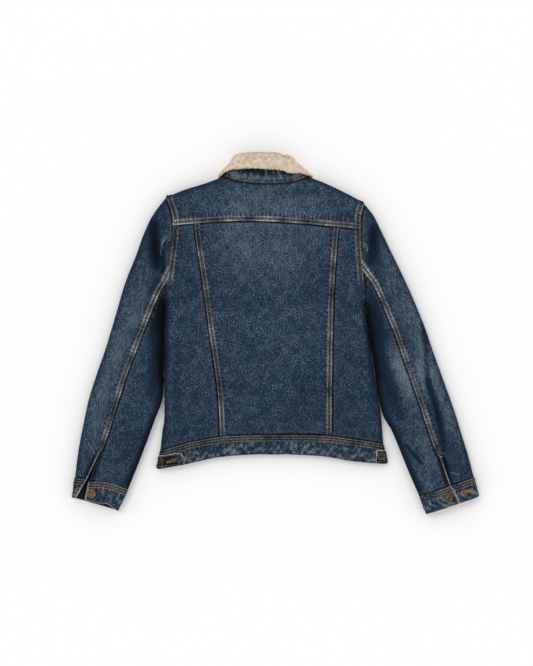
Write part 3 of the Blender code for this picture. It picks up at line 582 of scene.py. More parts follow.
def body_high(x: Array, y: Array) -> Array:
    """Height of the back: it swells at the neck and sinks to the hem."""
    sink = smooth((HEM_SETTLES[0] - y) / (HEM_SETTLES[0] - HEM_SETTLES[1]))
    return BODY_LOFT + (NECK_LOFT - BODY_LOFT) * neck_share(x, y, NECK_SWELL) - (BODY_LOFT - HEM_LOFT) * sink


def body_low(x: Array, y: Array) -> Array:
    """Height of the fronts: over the collar's fall, and over the heads of the buttons."""
    close, far = PLACKET_EASE
    placket = PLACKET_LIFT * smooth((far - np.abs(x - centre_x(y))) / (far - close))
    return np.maximum(FALL_LIFT * neck_share(x, y, FALL_SPREAD), placket)


def creased(x: Array, y: Array) -> Array:
    """How far the creases and the slow unevenness of lying cloth lower it here."""
    depths = np.array([crease.depth * crease.hill(x, y) for crease in CREASES])
    return 0.5 * noise(x, y, 46, 3) + 0.22 * noise(x, y, 19, 4) + depths.min(axis=0) + depths.max(axis=0)


def rubbed(x: Array, y: Array) -> Array:
    """How far the creases that stand proud are rubbed here, 0 to 1."""
    return np.max([crease.rub * crease.hill(x, y) for crease in CREASES if crease.rub], axis=0)


def toned(x: Array, y: Array) -> Array:
    """The tone of the cloth: 0 is the middle one, and 2.5 either way the end of the dye's range.

    Args:
        x: Plan places.
        y: Plan places.

    Returns:
        The tone at each.
    """
    tone = 0.12 * noise(x, y, 70, 5) + 0.12 * noise(x, y, 24, 6) + 0.14 * noise(x, y, 9, 7)
    # Painted shade in the creases' troughs and in TONES' dark patches; the noise above is the wash.
    shades = np.array([crease.shade * crease.hill(x, y) for crease in CREASES])
    tone = tone + shades.min(axis=0) + shades.max(axis=0)
    for spot in TONES:
        tone += spot.at(x, y)
    return tone


@dataclass
class Lay:
    """How a flattened part of the jacket lies between its folds."""

    folds: list

    def from_fold(self, plan: Array) -> Array:
        """The distance from plan points to the nearest fold, or its radius where it is further."""
        return np.min([nearest(plan, line, FOLD_RADIUS) for line in self.folds], axis=0)

    def lift(self, plan: Array, high: Array | float, low: Array | float, facing: Facing) -> Array:
        """Points over plan points. Level, the face is at its full height, and at a fold it comes
        down to half of it as the quarter of an ellipse.

        Args:
            plan: The plan points.
            high: Height of the part's top.
            low: Height of its bottom.
            facing: Which of the two the points are on.

        Returns:
            The points.
        """
        level = quarter(self.from_fold(plan) / FOLD_RADIUS)
        half = (high - low) / 2
        height = low + half + facing.value * (SEAM_GAP / 2 + (half - SEAM_GAP / 2) * level)
        if facing is Facing.UP:
            height -= creased(plan[..., 0], plan[..., 1]) * level
        return np.dstack([plan, height])

    def shade(self, plan: Array) -> Array:
        """Painted shade at the folds, where the cloth turns down away from the light."""
        return -0.6 * near(self.from_fold(plan), 12)


class Outline:
    """The plan lines of one side of the jacket, drawn finely.

    The sleeve's outer fold bows out a little below the shoulder.
    """

    row_steps = 22

    def __init__(self, side: Side) -> None:
        """Draws the lines.

        Args:
            side: The side's seam lines.
        """
        self.side = side
        self.shoulder = curve(side.shoulder, 12)
        self.armhole = curve(side.armhole, 12)
        self.flank = curve(side.flank, 14)
        self.front_neck = curve(side.front_neck, 12)
        self.back_seam = curve(side.back_seam, 14)
        sections = np.array(side.sections, float)
        head = np.clip(np.arange((len(sections) - 1) * self.row_steps + 1) / (1.1 * self.row_steps), 0, 1)
        bow = -2.2 * side.sign * np.sin(math.pi * head) ** 1.5
        self.outer = offset(curve(sections[:, 0:2], self.row_steps), bow)
        self.upper = curve(sections[:, 2:4], self.row_steps)
        self.under = curve(sections[:, 4:6], self.row_steps)
        self.inner = curve(self.clear_of_body(sections[:, 6:8].copy()), self.row_steps)
        self.outer_fold = np.vstack([self.shoulder[::-1], self.outer[1:], side.cuff.outer[1]])
        self.inner_fold = np.vstack([self.inner, side.cuff.inner[1]])
        self.side_fold = np.vstack([self.flank, side.hem_corner])

    def clear_of_body(self, inner: Array) -> Array:
        """Moves the sleeve's inner fold clear of the body's side where it runs along it.

        Args:
            inner: Points of the fold.

        Returns:
            The points, moved.
        """
        sign = self.side.sign
        edge = np.interp(-inner[1:, 1], -self.flank[:, 1], self.flank[:, 0])
        beside = inner[1:, 1] > self.flank[-1, 1]
        moved = sign * np.maximum(sign * inner[1:, 0], sign * edge + SLEEVE_CLEAR)
        inner[1:, 0] = np.where(beside, moved, inner[1:, 0])
        return inner

    def body_folds(self) -> list:
        """The folds on this side of the body: shoulder, sleeve head and flank."""
        return [self.outer_fold, self.side_fold]

    def from_here(self, line: Array) -> Array:
        """A line that crosses the body, as it runs from this side."""
        return line if self.side.sign < 0 else line[::-1]


# --- cloth


@dataclass(frozen=True)
class Seam:
    """A topstitched band along a lapped edge.

    The band stands proud by its rise, with a rounded edge and a groove under each row of stitches.
    Past its inner row the cloth is drawn into puckers that fade away.
    """

    width: float = 10.0
    rise: float = 1.5
    rows: tuple = (1.6, 8.4)  # distances of the rows of stitches from the edge
    pucker: float = 0.3  # depth of the puckers
    pitch: float = 8.5  # and the distance from one to the next
    spread: float = 12.0  # how far they reach
    wear: float = 0.7
    tone: float = -1.3
    fill: float = 0.4  # how far the cloth between the rows is rubbed in ticks

    def waves(self, run: Array, seed: int) -> Array:
        """The uneven beat of the puckers along the seam, -1 to 1."""
        drift = noise(run, np.full_like(run, seed * 7.3), 26, seed)
        return np.sin(2 * math.pi * run / self.pitch + 4.0 * drift)

    def marks(self, distance: Array, run: Array, seed: int) -> tuple[Array, Array, Array]:
        """What the band does to the cloth.

        Args:
            distance: Distance to the band's edge.
            run: Distance along the edge.
            seed: Which unevenness it has.

        Returns:
            How far the cloth stands proud, how far its dye is rubbed off and how much lighter it is.
        """
        past = distance - self.rows[-1]
        puckers = self.waves(run + 0.12 * distance, seed)
        lip = 0.35 + 0.65 * quarter(distance / 1.1)
        relief = self.rise * lip * smooth((self.width + 3.2 - distance) / 3.4)
        for row in self.rows:
            relief -= 0.38 * bell(distance - row, 0.75)
        size = 0.75 + 0.5 * noise(run, distance, 33, seed + 1)
        relief += self.pucker * puckers * near(past - 1.5, self.spread) * size
        relief += 0.3 * self.waves(run * 1.7 + 5, seed) * smooth((self.width - distance) / 3)
        # The dye is rubbed off along the stitches and the lip, in ticks between them and on each pucker.
        rubs = 0.65 * sum(bell(distance - row, 1.3) for row in self.rows) + 0.6 * bell(distance, 1.0)
        ticks = smooth(0.5 + 0.7 * self.waves(run * 1.7 + 3 * noise(run, distance, 11, seed + 4), seed))
        rubs += smooth((self.width + 1.0 - distance) / 2) * (0.06 + self.fill * ticks)
        rubs += 0.2 * smooth(0.5 + 0.5 * puckers) * near(past - 1.0, 0.7 * self.spread)
        patchy = 0.62 + 0.6 * noise(run, distance * 0.25, 21, seed + 2)
        patchy += 0.3 * noise(run, distance, 5, seed + 3)
        # It stays darker in the band, and in the troughs of the puckers, part dye and part painted shade.
        trough = 1.6 * smooth(-0.2 - puckers) * near(past - 2.5, 0.6 * self.spread)
        tone = smooth((self.width + 0.6 - distance) / 1.5) * self.tone - trough
        return relief, self.wear * rubs * np.clip(patchy, 0.08, 1.4), tone


SEAM = Seam()
ARMHOLE = Seam(width=11.5, rows=(1.5, 9.8), pucker=0.22, tone=-1.5)
YOKE = Seam(pucker=0.5, pitch=7.5, spread=16.0, wear=0.9, tone=-1.4)
SLEEVE_SEAM = Seam(width=10.5, rows=(1.5, 8.2), spread=11.0, wear=0.8, tone=-0.9, fill=0.55)
BAND = Seam(12.0, rows=(1.5, 6.2, 11.0), pucker=0.4, pitch=8.0, spread=18.0, wear=0.45, tone=-1.8, fill=0.2)
HIDDEN = Seam(width=9.0, rows=(1.6, 7.6), pucker=0.2, wear=0.45)
NECK_SEAM = Seam(width=4.0, rise=0.6, rows=(2.0,), pucker=0.15, pitch=6.0, spread=5.0, wear=0.3)


@dataclass
class Cloth:
    """A panel: its grid in plan and in space, how worn and how light it is, and its relief."""

    plan: Array
    points: Array
    facing: Facing
    handed: float = 0.0  # the sign of the grid's normals that look out of the jacket
    base: Array = field(init=False)
    relief: Array = field(init=False)
    wear: Array = field(init=False)
    tone: Array = field(init=False)

    def __post_init__(self) -> None:
        """Starts with no relief and no wear, in the wash's tone; a face that looks up gets painted shade too.
        """
        self.base = self.points
        x, y = self.plan[..., 0], self.plan[..., 1]
        self.relief, self.wear = np.zeros((2, *self.plan.shape[:2]))
        self.tone = 0.4 * noise(x, y, 50, 8) + 0.2 * noise(x, y, 15, 9)
        if self.facing is Facing.UP:
            self.tone, self.wear = toned(x, y), rubbed(x, y)
        if not self.handed:
            down, across = np.gradient(self.points, axis=0), np.gradient(self.points, axis=1)
            self.handed = float(np.sign(np.sum(np.cross(down, across)[..., 2]))) * self.facing.value

    @property
    def normals(self) -> Array:
        """Unit normals of the grid as it lies, out of the jacket."""
        return grid_normals(self.points) * self.handed

    def away(self, edge: Edge) -> Array:
        """How far each point is from an edge."""
        return reach(self.plan, edge)[0]

    def add_seam(self, edge: Edge, seam: Seam, seed: int, weight: Array | float = 1.0) -> None:
        """A topstitched band along an edge of the panel.

        Args:
            edge: Which edge is lapped.
            seam: The band.
            seed: Which unevenness it has.
            weight: How much of it shows at each point, 0 to 1.
        """
        relief, wear, tone = (mark * weight for mark in seam.marks(*reach(self.plan, edge), seed))
        self.relief = np.where(np.abs(relief) > np.abs(self.relief), relief, self.relief)
        self.wear = np.maximum(self.wear, wear)
        self.tone += tone

    def shade_under(self, edge: Edge, start: float, seed: int, weight: Array | float = 1.0) -> None:
        """Painted shadow, partly unrubbed dye, and puckers at the foot of a band that laps over this edge.

        Args:
            edge: The edge that lies under the band.
            start: How far the band reaches over it.
            seed: Which unevenness it has.
            weight: How much of it shows at each point, 0 to 1.
        """
        distance, run = reach(self.plan, edge)
        foot = near(distance - start - 0.7, 3.2)
        waves = np.sin(2 * math.pi * run / 9.0 + 4.0 * noise(run, np.full_like(run, 3.1 * seed), 26, seed))
        fade = near(distance - start - 2, 10) * weight
        under = smooth((start - distance) / 1.5)
        # Painted shadow along the foot of the band's edge, partly the dye left unrubbed there.
        self.tone -= 3.8 * foot * weight * (0.8 + 0.4 * noise(run, distance, 14, seed))
        self.relief = self.relief + 0.16 * waves * fade - 0.25 * foot * weight - 0.3 * under * weight
        self.wear = np.maximum(self.wear, 0.14 * smooth(0.5 + 0.5 * waves) * fade * (distance > start + 2))

    def fray(self, edge: Edge, seed: int, strength: float, weight: Array | float = 1.0) -> None:
        """White yarn along an edge, where the dye and the nap are gone.

        Args:
            edge: The edge.
            seed: Which unevenness it has.
            strength: Over 1, the yarn is bare.
            weight: How much of it shows at each point, 0 to 1.
        """
        distance, run = reach(self.plan, edge)
        bare = bell(distance, 1.3) * (0.85 + 0.3 * noise(run, distance, 7, seed))
        self.wear = np.maximum(self.wear, strength * bare * weight)
        self.relief -= 0.7 * (1 - quarter(distance / 1.4)) * weight

    def line_at(self, edge: Edge, inset: float) -> tuple[Array, Array]:
        """A line on the finished face at one distance from an edge.

        Args:
            edge: The edge.
            inset: The distance from it in plan.

        Returns:
            Points of the line, and the cloth's normals there.
        """
        distance = turn_to(self.away(edge), edge)
        row = np.arange(len(distance))
        column = np.clip(np.argmax(distance >= inset, axis=1), 1, None)
        before, after = distance[row, column - 1], distance[row, column]
        share = np.clip((inset - before) / np.maximum(after - before, TINY), 0, 1)[:, None]
        line, out = (
            grid[row, column - 1] * (1 - share) + grid[row, column] * share
            for grid in (turn_to(self.points, edge), turn_to(self.normals, edge))
        )
        return line, unit(out)

    def press(self) -> None:
        """Moves the grid along its normals by the relief, no lower than the table."""
        self.points = self.base + self.normals * self.relief[..., None]
        self.points[..., 2] = np.maximum(self.points[..., 2], 0.05)

    def turned(self) -> "Cloth":
        """The same cloth with its columns in reverse order."""
        other = Cloth(self.plan[:, ::-1], self.points[:, ::-1], self.facing, -self.handed)
        other.base, other.wear, other.tone = self.base[:, ::-1], self.wear[:, ::-1], self.tone[:, ::-1]
        return other

    def grain(self) -> Array:
        """The cloth's own coordinates in metres: across its weft from the middle, and up its warp."""
        across = lengths(self.base.swapaxes(0, 1)).T
        middle = self.base.shape[1] // 2
        return np.dstack([across - across[:, middle : middle + 1], -lengths(self.base)]) * MM

    def build(
        self, node: str, finishes: Sequence, flat: tuple, rests_on: Sequence, area: float | None = None,
        thickness: float = DENIM_THICK, nodes: Sequence = (),
    ) -> None:
        """Makes the panel a thin shell, and a piece of the jacket.

        Args:
            node: The solid that it stands for, which names the piece.
            finishes: Materials of the outer face and of the inside.
            flat: Width and length of the cut in metres.
            rests_on: Names of the solids that it lies on.
            area: Flat area of the cut in square metres, if it isn't a rectangle. Not used.
            thickness: Thickness of the cloth in millimetres.
            nodes: The solids that it stands for, if there are several.
        """
        faces = grid_faces(*self.points.shape[:2], self.handed).tolist()
        piece = make_object(node + "_cloth", self.points, faces, finishes)
        corner = np.zeros(len(piece.data.loops), np.int32)
        piece.data.loops.foreach_get("vertex_index", corner)
        grain = self.grain().reshape(-1, 2)[corner]
        piece.data.uv_layers.new(name="grain").data.foreach_set("uv", grain.astype(np.float32).ravel())
        # The tone attribute holds painted shade as well as the wash's tone.
        for name, values in (("wear", self.wear), ("tone", self.tone)):
            layer = piece.data.attributes.new(name, "FLOAT", "POINT")
            layer.data.foreach_set("value", values.ravel().astype(np.float32))
        solidify = piece.modifiers.new("thickness", "SOLIDIFY")
        solidify.thickness = thickness * MM
        solidify.offset = -1
        solidify.material_offset = 1
        dress(piece, nodes or [node], flat, rests_on)


def joined(cloths: Sequence) -> Cloth:
    """Cloths side by side as one, each sharing its first column with the last of the one before.

    Args:
        cloths: The cloths, from the first column to the last.

    Returns:
        The whole cloth.
    """
    plan, points, base, wear, tone = (
        np.concatenate([getattr(one, name)[:, min(k, 1) :] for k, one in enumerate(cloths)], axis=1)
        for name in ("plan", "points", "base", "wear", "tone")
    )
    whole = Cloth(plan, points, cloths[0].facing, cloths[0].handed)
    whole.base, whole.wear, whole.tone = base, wear, tone
    return whole


# --- meshes


def make_object(name: str, points: Array, faces: list, finishes: Sequence) -> bpy.types.Object:
    """An object from points in millimetres and lists of corners.

    Args:
        name: The object's name.
        points: The points, with x, y and z on the last axis.
        faces: The corners of each face.
        finishes: The materials.

    Returns:
        The object, smooth shaded and in the scene.
    """
    mesh = bpy.data.meshes.new(name)
    mesh.from_pydata((points.reshape(-1, 3) * MM).tolist(), [], faces)
    for finish in finishes:
        mesh.materials.append(finish)
    mesh.shade_smooth()
    thing = bpy.data.objects.new(name, mesh)
    bpy.context.scene.collection.objects.link(thing)
    return thing


def grid_normals(points: Array) -> Array:
    """Unit normals of a grid, to the left of its columns as seen down its rows."""
    return unit(np.cross(np.gradient(points, axis=0), np.gradient(points, axis=1)))


def grid_faces(rows: int, count: int, handed: float, around: bool = False) -> Array:
    """Quads of a grid.

    Args:
        rows: Rows of points.
        count: Points in a row.
        handed: The sign of the side that the faces look to.
        around: Whether each row's end meets its start.

    Returns:
        Four corners for each face.
    """
    row, column = np.meshgrid(np.arange(rows - 1), np.arange(count - (not around)), indexing="ij")
    beside = (column + 1) % count
    row, below = row * count, (row + 1) * count
    quads = np.stack([row + column, below + column, below + beside, row + beside], axis=-1).reshape(-1, 4)
    return quads if handed > 0 else quads[:, ::-1]


def copied(faces: Array, pieces: int, points: int) -> list:
    """The faces of many like pieces in one mesh, from those of the first and its number of points."""
    return (faces[None] + (np.arange(pieces) * points)[:, None, None]).reshape(-1, faces.shape[1]).tolist()


RINGS = np.array([-1.0, -0.6, 0.0, 0.6, 1.0])


@dataclass(frozen=True)
class Thread:
    """A topstitching thread and the length of its stitches, in millimetres."""

    width: float = 0.8
    stitch: float = 3.0
    gap: float = 0.55
    sink: float = 0.22

    def lay(self, line: Array, normals: Array, start: float = 0.0, stop: float = math.inf) -> Array:
        """Stitches along a line on the cloth.

        Args:
            line: Points on the cloth's face.
            normals: The cloth's unit normals there.
            start: Where the row begins along the line.
            stop: Where it ends at the latest.

        Returns:
            Stitches by rings by five by x, y and z.
        """
        marks = lengths(line)
        half = self.stitch / 2
        middles = np.arange(start + half, min(stop, marks[-1]) - half, self.stitch + self.gap)
        if not len(middles):
            return np.zeros((0, len(RINGS), 5, 3))
        middles += noise(middles, middles * 0.3, 3.1, 61) * 0.2
        ahead = along(line, middles + half) - along(line, middles - half)
        out = np.stack([np.interp(middles, marks, normals[:, k]) for k in range(3)], axis=1)
        here = np.full_like(middles, line[0, 0])
        worn = noise(middles, here, 15, 62) + 0.5 * noise(middles, middles, 4, 63)
        return self.beads(along(line, middles), ahead, out, sink=0.14 + 0.3 * smooth(0.5 + worn))

    def beads(
        self, middles: Array, ahead: Array, out: Array, stitch: float | None = None, sink: Array | float = 0.0
    ) -> Array:
        """Beads of thread. The radius falls off towards both ends as the root of 1 - t^4, and the
        middle rises out of the cloth while the ends dip in.

        Args:
            middles: The middle of each bead.
            ahead: The direction along it.
            out: The direction out of the cloth.
            stitch: Its length, or None for the thread's stitch.
            sink: How far it lies in the cloth.

        Returns:
            Beads by rings by five by x, y and z.
        """
        ahead = unit(ahead)
        out = unit(out - np.sum(out * ahead, axis=1)[:, None] * ahead)
        aside = np.cross(ahead, out)
        half = (self.stitch if stitch is None else stitch) / 2
        around = 2 * math.pi * (np.arange(5) + 0.5) / 5
        radius = self.width / 2 * np.sqrt(1 - RINGS**4 * 0.96)
        rise = self.width * 0.3 * (1 - RINGS**2)[None] - np.broadcast_to(sink, len(middles))[:, None]
        lift = radius[None, :, None] * 0.8 * np.sin(around) + rise[..., None]
        shape = (
            (ahead * half)[:, None, None] * RINGS[None, :, None, None]
            + aside[:, None, None] * (radius[:, None] * np.cos(around))[None, ..., None]
            + out[:, None, None] * lift[..., None]
        )
        return middles[:, None, None] + shape


def bead_object(name: str, groups: Iterable, finish: bpy.types.Material) -> bpy.types.Object:
    """One object from many beads, each a tube of rings closed by a face at both ends.

    Args:
        name: The object's name.
        groups: Arrays of beads.
        finish: The material.

    Returns:
        The object.
    """
    beads = np.concatenate([group for group in groups if len(group)])
    count, rings, around = beads.shape[:3]
    first, last = np.arange(around)[None], (rings - 1) * around + np.arange(around)[None, ::-1]
    parts = (grid_faces(rings, around, 1, True), first, last)
    faces = sum((copied(part, count, rings * around) for part in parts), [])
    return make_object(name, beads, faces, [finish])


def turned_object(
    name: str, place: Array, facing: Array, grid: Array, finishes: Sequence, rubbed: Sequence
) -> bpy.types.Object:
    """A round piece from rings of radius, angle and height, closed by a point at both ends.

    Args:
        name: The object's name.
        place: The middle of its foot, on the cloth.
        facing: The direction that it looks in.
        grid: Rings by steps of x, y and z in its own frame, from the foot's rim to the top's middle.
        finishes: The main material, and the one of the rubbed rings, lighter also as a painted highlight.
        rubbed: Which rings are rubbed.

    Returns:
        The object.
    """
    rings, steps = grid.shape[:2]
    points = np.vstack([grid.reshape(-1, 3), grid[0].mean(axis=0), grid[-1].mean(axis=0)])
    turn = np.array(Vector(facing).to_track_quat("Z", "Y").to_matrix())
    here, foot = np.arange(steps), np.full(steps, rings * steps)
    beside, top = (here + 1) % steps, (rings - 1) * steps
    ends = np.hstack([(foot, beside, here), (foot + 1, top + here, top + beside)]).T
    faces = grid_faces(rings, steps, -1, True).tolist() + ends.tolist()
    thing = make_object(name, points @ turn.T + place, faces, finishes)
    slots = np.zeros(len(faces), np.int32)
    slots[: (rings - 1) * steps] = np.repeat(np.isin(np.arange(rings - 1), rubbed), steps)
    thing.data.polygons.foreach_set("material_index", slots)
    return thing


# --- finishes


def linear(code: str) -> tuple:
    """An sRGB hex colour as linear red, green, blue and alpha."""
    parts = [int(code[k : k + 2], 16) / 255 for k in (1, 3, 5)]
    return tuple(p / 12.92 if p <= 0.04045 else ((p + 0.055) / 1.055) ** 2.4 for p in parts) + (1.0,)


def add_node(tree: bpy.types.NodeTree, kind: str, settings: dict | None = None, **inputs) -> bpy.types.Node:
    """Adds a shader node.

    Args:
        tree: The material's node tree.
        kind: Blender's name of the node's class, without its ShaderNode.
        settings: Attributes of the node.
        **inputs: Sockets by name with _ for a space, or by number after an i. A value is set, and
            an output socket is linked.

    Returns:
        The node.
    """
    node = tree.nodes.new("ShaderNode" + kind)
    for name, value in (settings or {}).items():
        setattr(node, name, value)
    for name, value in inputs.items():
        socket = node.inputs[int(name[1:]) if name[1:].isdigit() else name.replace("_", " ")]
        if isinstance(value, bpy.types.NodeSocket):
            tree.links.new(value, socket)
        else:
            socket.default_value = value
    return node


def new_material(name: str) -> tuple[bpy.types.Material, bpy.types.NodeTree, bpy.types.Node]:
    """A material with its tree and its Principled BSDF."""
    material = bpy.data.materials.new(name)
    material.use_nodes = True
    return material, material.node_tree, material.node_tree.nodes["Principled BSDF"]


def set_ramp(ramp: bpy.types.Node, stops: Sequence) -> bpy.types.NodeSocket:
    """Sets a colour ramp's stops.

    Args:
        ramp: The ramp's node.
        stops: Pairs of position and hex colour.

    Returns:
        The socket of its colour.
    """
    elements = ramp.color_ramp.elements
    for position, _ in stops[2:]:
        elements.new(position)
    for element, (position, code) in zip(elements, sorted(stops)):
        element.position, element.color = position, linear(code)
    return ramp.outputs[0]


@dataclass(frozen=True)
class Denim:
    """Three-one twill of indigo warp and undyed weft, stone washed.

    The warp's surface dye rubs off, so ridges and seam edges go pale. Grooves are darker, part dye that
    the rubbing missed and part painted shade from the tone attribute. Uneven yarns give short streaks up
    the warp, and grey flecks where the weft shows.
    """

    name: str = "indigo twill denim, stone washed"
    deep: str = "#03070d"
    mid: str = "#1a2d42"
    light: str = "#7a8c95"
    rubbed: str = "#9c9c9a"
    bare: str = "#dedcd4"
    twill: float = 1.0  # spacing of the twill lines: 0.6 in the cloth, coarser here so that it shows
    fleck: float = 1.85  # a weft fleck is 1 to 2 mm
    slub: float = 2.4  # a thick warp yarn's streak, which is five times as long
    cloud: float = 16.0  # patches of the wash

    def build(self) -> bpy.types.Material:
        """The material, with its pattern on the cloth's own UV map.

        Returns:
            The material.
        """
        material, tree, shader = new_material(self.name)
        clamp, blend, add = {"use_clamp": True}, {"data_type": "RGBA"}, {"operation": "MULTIPLY_ADD"}
        uv = add_node(tree, "UVMap", {"uv_map": "grain"}).outputs[0]
        wear, tone = (
            add_node(tree, "Attribute", {"attribute_name": name}).outputs["Fac"] for name in ("wear", "tone")
        )
        noises = []
        for size, stretch, detail in ((self.fleck, 1.7, 2.0), (self.slub, 5.0, 1.0), (self.cloud, 1.3, 3.0)):
            scale = (1000 / size, 1000 / size / stretch, 1.0)
            place = add_node(tree, "Mapping", None, Vector=uv, Scale=scale).outputs[0]
            noises.append(add_node(tree, "TexNoise", None, Vector=place, Scale=1.0, Detail=detail).outputs[0])
        lines = add_node(tree, "Mapping", None, Vector=uv, Rotation=(0, 0, math.radians(-62))).outputs[0]
        # A wave texture repeats every 2 pi / 20 of its input.
        pitch = 2 * math.pi / 20 * 1000 / self.twill
        twill = add_node(tree, "TexWave", None, Vector=lines, Scale=pitch, Distortion=0.5).outputs["Fac"]
        # The tone attribute, wash and painted shade together, sets the level of the blue.
        level = add_node(tree, "Math", add, i0=tone, i1=0.2, i2=0.49).outputs[0]
        for value, weight in zip((*noises, twill), (0.95, 0.35, 0.25, 0.1)):
            part = add_node(tree, "Math", add, i0=value, i1=weight, i2=-weight / 2).outputs[0]
            level = add_node(tree, "Math", {"operation": "ADD"}, i0=level, i1=part).outputs[0]
        ramp = add_node(tree, "ValToRGB", None, Fac=level)
        dyed = set_ramp(ramp, ((0.0, self.deep), (0.5, self.mid), (1.0, self.light)))
        speckle = add_node(tree, "Math", add, i0=noises[0], i1=2.4, i2=-0.6).outputs[0]
        rub = add_node(tree, "Math", {"operation": "MULTIPLY", **clamp}, i0=wear, i1=speckle).outputs[0]
        rubbed = add_node(tree, "Mix", blend, i0=rub, i6=dyed, i7=linear(self.rubbed)).outputs[2]
        frayed = add_node(tree, "Math", {"operation": "SUBTRACT", **clamp}, i0=wear, i1=0.75).outputs[0]
        colour = add_node(tree, "Mix", blend, i0=frayed, i6=rubbed, i7=linear(self.bare)).outputs[2]
        height = add_node(tree, "Math", add, i0=twill, i1=0.35, i2=noises[0]).outputs[0]
        bump = add_node(tree, "Bump", None, Strength=0.5, Distance=0.3 * MM, Height=height).outputs[0]
        tree.links.new(colour, shader.inputs["Base Color"])
        tree.links.new(bump, shader.inputs["Normal"])
        shader.inputs["Roughness"].default_value = 0.92
        shader.inputs["Specular IOR Level"].default_value = 0.12
        return material


@dataclass(frozen=True)
class Plain:
    """A finish that mottles between two colours, with a light bump of the same grain."""

    name: str
    colour: str
    second: str
    roughness: float
    metallic: float = 0.0
    grain: float = 3.0
    bump: float = 0.1

    def build(self) -> bpy.types.Material:
        """The material, with its pattern on object coordinates.

        Returns:
            The material.
        """
        material, tree, shader = new_material(self.name)
        place = add_node(tree, "TexCoord").outputs["Object"]
        scale = 1000 / self.grain
        mottle = add_node(tree, "TexNoise", None, Vector=place, Scale=scale, Detail=3.0).outputs[0]
        ramp = add_node(tree, "ValToRGB", None, Fac=mottle)
        colour = set_ramp(ramp, ((0.38, self.second), (0.62, self.colour)))
        bump = add_node(tree, "Bump", None, Strength=0.6, Distance=self.bump * MM, Height=mottle).outputs[0]
        tree.links.new(colour, shader.inputs["Base Color"])
        tree.links.new(bump, shader.inputs["Normal"])
        shader.inputs["Roughness"].default_value = self.roughness
        shader.inputs["Metallic"].default_value = self.metallic
        return material


class Finishes:
    """Every finish of the jacket, built once."""

    def __init__(self) -> None:
        """Builds the materials."""
        self.denim = Denim().build()
        # Spun polyester topstitching thread, tan gone grey in the wash: matt, with a soft twist.
        thread = "topstitching thread, "
        self.thread = Plain(thread + "washed tan polyester", "#b6b3aa", "#6d6e6d", 0.85, grain=6.0).build()
        # The same thread where the collar kept it from the wash: a warmer tan.
        self.neck_thread = Plain(thread + "tan polyester", "#a98a6c", "#7d6450", 0.8, grain=4.0).build()
        # The same thread where it is bleached.
        self.pale_thread = Plain(thread + "bleached", "#c4c2ba", "#8b8c8c", 0.85, grain=4.0).build()
        # The bright rust of buttonholes and bar tacks, in a shinier thread.
        rust = "buttonhole thread, rust polyester"
        self.rust_thread = Plain(rust, "#c98a35", "#9a6420", 0.6, grain=2.0).build()
        # Undyed cotton yarn ends that stand out of a frayed edge.
        self.fray = Plain("frayed cotton yarn, undyed", "#e2e0d8", "#bcbab0", 0.95, grain=1.5).build()
        # Dark woven lining, which lies in shadow and swallows the light.
        # It also fills the buttonholes' slits and eyes as painted shade.
        self.lining_and_slit_shade = Plain("dark lining twill, woven", "#15161b", "#0b0b0e", 0.95, grain=2.0).build()
        # Knitted pile brushed into short matted curls: cream, and beige in its depths.
        pile = "cream sherpa fleece, knitted pile"
        self.sherpa = Plain(pile, "#eadcca", "#dcc9b0", 1.0, grain=6.0, bump=0.3).build()
        # Brass plated steel, aged: brown in its hollows and dull gold on its rims.
        self.brass = Plain("aged brass, stamped", "#7d603e", "#33251a", 0.45, 0.85, grain=2.6).build()
        # The same brass where the rims are rubbed bright, and lighter also as a painted highlight.
        self.rubbed_lit_brass = Plain("brass, rubbed rim", "#a07e54", "#57422c", 0.4, 0.85, grain=2.6).build()
        # Blackened steel, and where its rims are rubbed grey, which is lighter also as a painted highlight.
        self.dark_metal = Plain("blackened steel, stamped", "#1d1b1a", "#0b0b0c", 0.38, 0.6, 2.2).build()
        self.steel = Plain("steel, rubbed rim", "#77787a", "#2b2b2d", 0.4, 0.6, grain=2.6).build()
        # Matt white board, a plain ground.
        self.floor = Plain("white board, matt", "#ffffff", "#fdfdfd", 0.9, grain=4.0, bump=0.0).build()


def dress(
    piece: bpy.types.Object, nodes: Sequence = (), flat: tuple | None = None,
    rests_on: Sequence = (),
) -> None:
    """Makes a finished piece part of the jacket.

    Args:
        piece: The object.
        nodes: The solids that it stands for.
        flat: Width and length of the cut in metres, if it is a sheet of cloth. Not used.
        rests_on: Names of the solids that the cloth lies on. Not used.
    """
    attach(piece, "root")
    if nodes:
        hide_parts(*nodes)
    if flat:
        list(rests_on)
    shown = sum(polygon.area for polygon in piece.data.polygons)
    log.info("%s: %d faces, %.4f square metres", piece.name, len(piece.data.polygons), shown)


# --- sub-assemblies

CENTRE_BUTTONS = 207.0 - 69.5 * np.arange(7)


def line_down(start: Sequence, end: Sequence, shares: Array) -> Array:
    """Points of a straight line at these shares, which may run past its ends."""
    start, end = np.array(start, float), np.array(end, float)
    return start + np.asarray(shares)[:, None] * (end - start)


